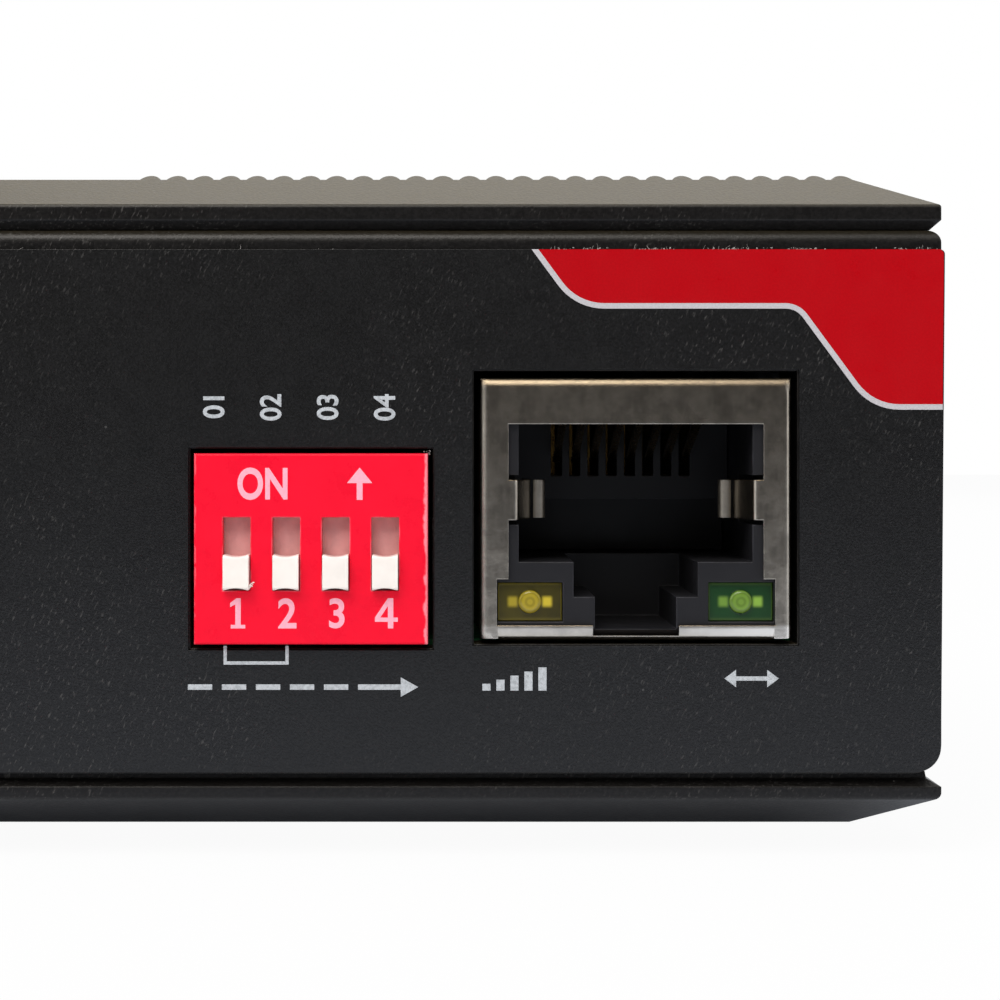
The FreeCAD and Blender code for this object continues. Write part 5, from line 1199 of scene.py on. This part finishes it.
class CONVERTER_OT_stage(bpy.types.Operator):
    """Set the floor, the dark card, the light and the camera"""

    bl_idname = "converter.stage"
    bl_label = "Stage"

    def execute(self, context):
        self.lay_floor()
        self.hang_flag()
        self.light_world()
        stage = settings().stage
        soft_lamp("key_lamp", (-0.12, -0.40, 0.52), 0.42, stage.key)
        soft_lamp("left_lamp", (-0.58, -0.16, 0.30), 0.36, stage.fill)
        soft_lamp("right_lamp", (0.58, -0.10, 0.34), 0.36, stage.fill)
        soft_lamp("back_lamp", (0.05, 0.56, 0.42), 0.46, stage.back)
        self.place_camera()
        bpy.context.scene.view_settings.view_transform = "Standard"
        return {"FINISHED"}

    def lay_floor(self):
        """A pale card, seen as nearly plain white but for the shadow under the converter."""
        stage = settings().stage
        card = Finish("floor_card", Roughness=0.9, Specular_IOR_Level=0.1)
        card.colour(card.shades(card.noise(card.position, 0.6 / MM, 4.0, 0.6), stage.floor, 0.97))
        open_sky = card.node("AmbientOcclusion", {"Distance": 14 * MM}, samples=8).outputs["AO"]
        path = card.node("LightPath").outputs
        white = card.mix(path["Is Glossy Ray"], (1.0, 1.0, 1.0), (0.82, 0.88, 1.0))
        glow = card.node("Emission", {"Color": white, "Strength": SHOWN_STRENGTH})
        mirrored = card.times(path["Is Glossy Ray"], open_sky)
        direct = card.larger(path["Is Camera Ray"], path["Is Transmission Ray"])
        share = card.times(card.larger(direct, mirrored), stage.floor_glow)
        ends = {0: share, 1: card.shader.outputs[0], 2: glow.outputs[0]}
        mixed = card.node("MixShader", ends).outputs[0]
        card.feed(card.tree.nodes["Material Output"].inputs["Surface"], mixed)
        reach = 1.2
        corners = [(-reach, -reach, 0), (reach, -reach, 0), (reach, reach, 0), (-reach, reach, 0)]
        flat_sheet("floor", corners, card.material)

    def hang_flag(self):
        """A dark card behind the camera, which the bright plating and the film mirror."""
        left, right, head, y = -0.17, 0.27, 0.155, -0.165
        card = Finish("dark_card", Roughness=0.9)
        weave = card.noise(card.position, 0.3 / MM, 3.0)
        card.colour(card.mix(weave, (0.05, 0.048, 0.046), (0.07, 0.067, 0.063)))
        corners = [(left, y, 0), (right, y, 0), (right, y, head), (left, y, head)]
        flag = flat_sheet("dark_card", corners, card.material)
        for way in ("camera", "diffuse", "shadow", "transmission"):
            setattr(flag, "visible_" + way, False)

    def light_world(self):
        """Even light from all round, seen as plain white directly, in a mirror or through glass."""
        world = bpy.data.worlds.new("studio")
        bpy.context.scene.world = world
        world.use_nodes = True
        tree = Tree(world.node_tree)
        room = tree.tree.nodes["Background"]
        tree.feed(room.inputs["Strength"], settings().stage.ambient)
        tree.feed(room.inputs["Color"], (1.0, 1.0, 1.0))
        white = tree.node("Background", {"Strength": SHOWN_STRENGTH, "Color": (1.0, 1.0, 1.0)})
        path = tree.node("LightPath").outputs
        mirrored = tree.larger(path["Is Glossy Ray"], path["Is Transmission Ray"])
        seen = tree.larger(path["Is Camera Ray"], mirrored)
        mixed = tree.node("MixShader", {0: seen, 1: room.outputs[0], 2: white.outputs[0]})
        tree.feed(tree.tree.nodes["World Output"].inputs["Surface"], mixed.outputs[0])

    def place_camera(self):
        stage = settings().stage
        data = bpy.data.cameras.new("camera")
        data.lens = stage.lens
        data.sensor_width = 36.0
        data.shift_x, data.shift_y = stage.shift, -stage.shift
        data.clip_start, data.clip_end = 0.01, 10.0
        made = added("camera", data)
        made.location = stage.camera_place
        made.rotation_euler = (math.pi / 2, 0.0, 0.0)
        bpy.context.scene.camera = made


# The panel


STEPS = (
    ("case", "case"), ("overlay", "overlay"), ("legends", None), ("lint", None),
    ("jack", "jack"), ("switch", "switch"), ("fibre_port", "fibre_port"),
    ("status_lamps", "lamps"), ("inlet", None), ("board", "board"), ("stage", "stage"),
)


class CONVERTER_PT_panel(bpy.types.Panel):
    """Lists the converter's steps with their settings"""

    bl_idname = "CONVERTER_PT_panel"
    bl_label = "Media converter"
    bl_space_type = "VIEW_3D"
    bl_region_type = "UI"
    bl_category = "Converter"

    def draw(self, context):
        for step, group in STEPS:
            box = self.layout.box()
            box.operator("converter." + step)
            if group:
                held = getattr(settings(), group)
                for name in held.bl_rna.properties.keys():
                    if name not in ("rna_type", "name"):
                        box.prop(held, name)


CLASSES = (
    CaseSettings, OverlaySettings, JackSettings, SwitchSettings, FibrePortSettings,
    LampSettings, BoardSettings, StageSettings, ConverterSettings,
    CONVERTER_OT_case, CONVERTER_OT_overlay, CONVERTER_OT_legends, CONVERTER_OT_lint,
    CONVERTER_OT_jack, CONVERTER_OT_switch, CONVERTER_OT_fibre_port,
    CONVERTER_OT_status_lamps, CONVERTER_OT_inlet, CONVERTER_OT_board, CONVERTER_OT_stage,
    CONVERTER_PT_panel,
)


def register():
    for made in CLASSES:
        bpy.utils.register_class(made)
    bpy.types.Scene.converter = PointerProperty(type=ConverterSettings)


def unregister():
    del bpy.types.Scene.converter
    for made in reversed(CLASSES):
        bpy.utils.unregister_class(made)


def main():
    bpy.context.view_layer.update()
    register()
    build_effects()
    for step, _ in STEPS:
        getattr(bpy.ops.converter, step)()


if __name__ == "__main__":
    main()
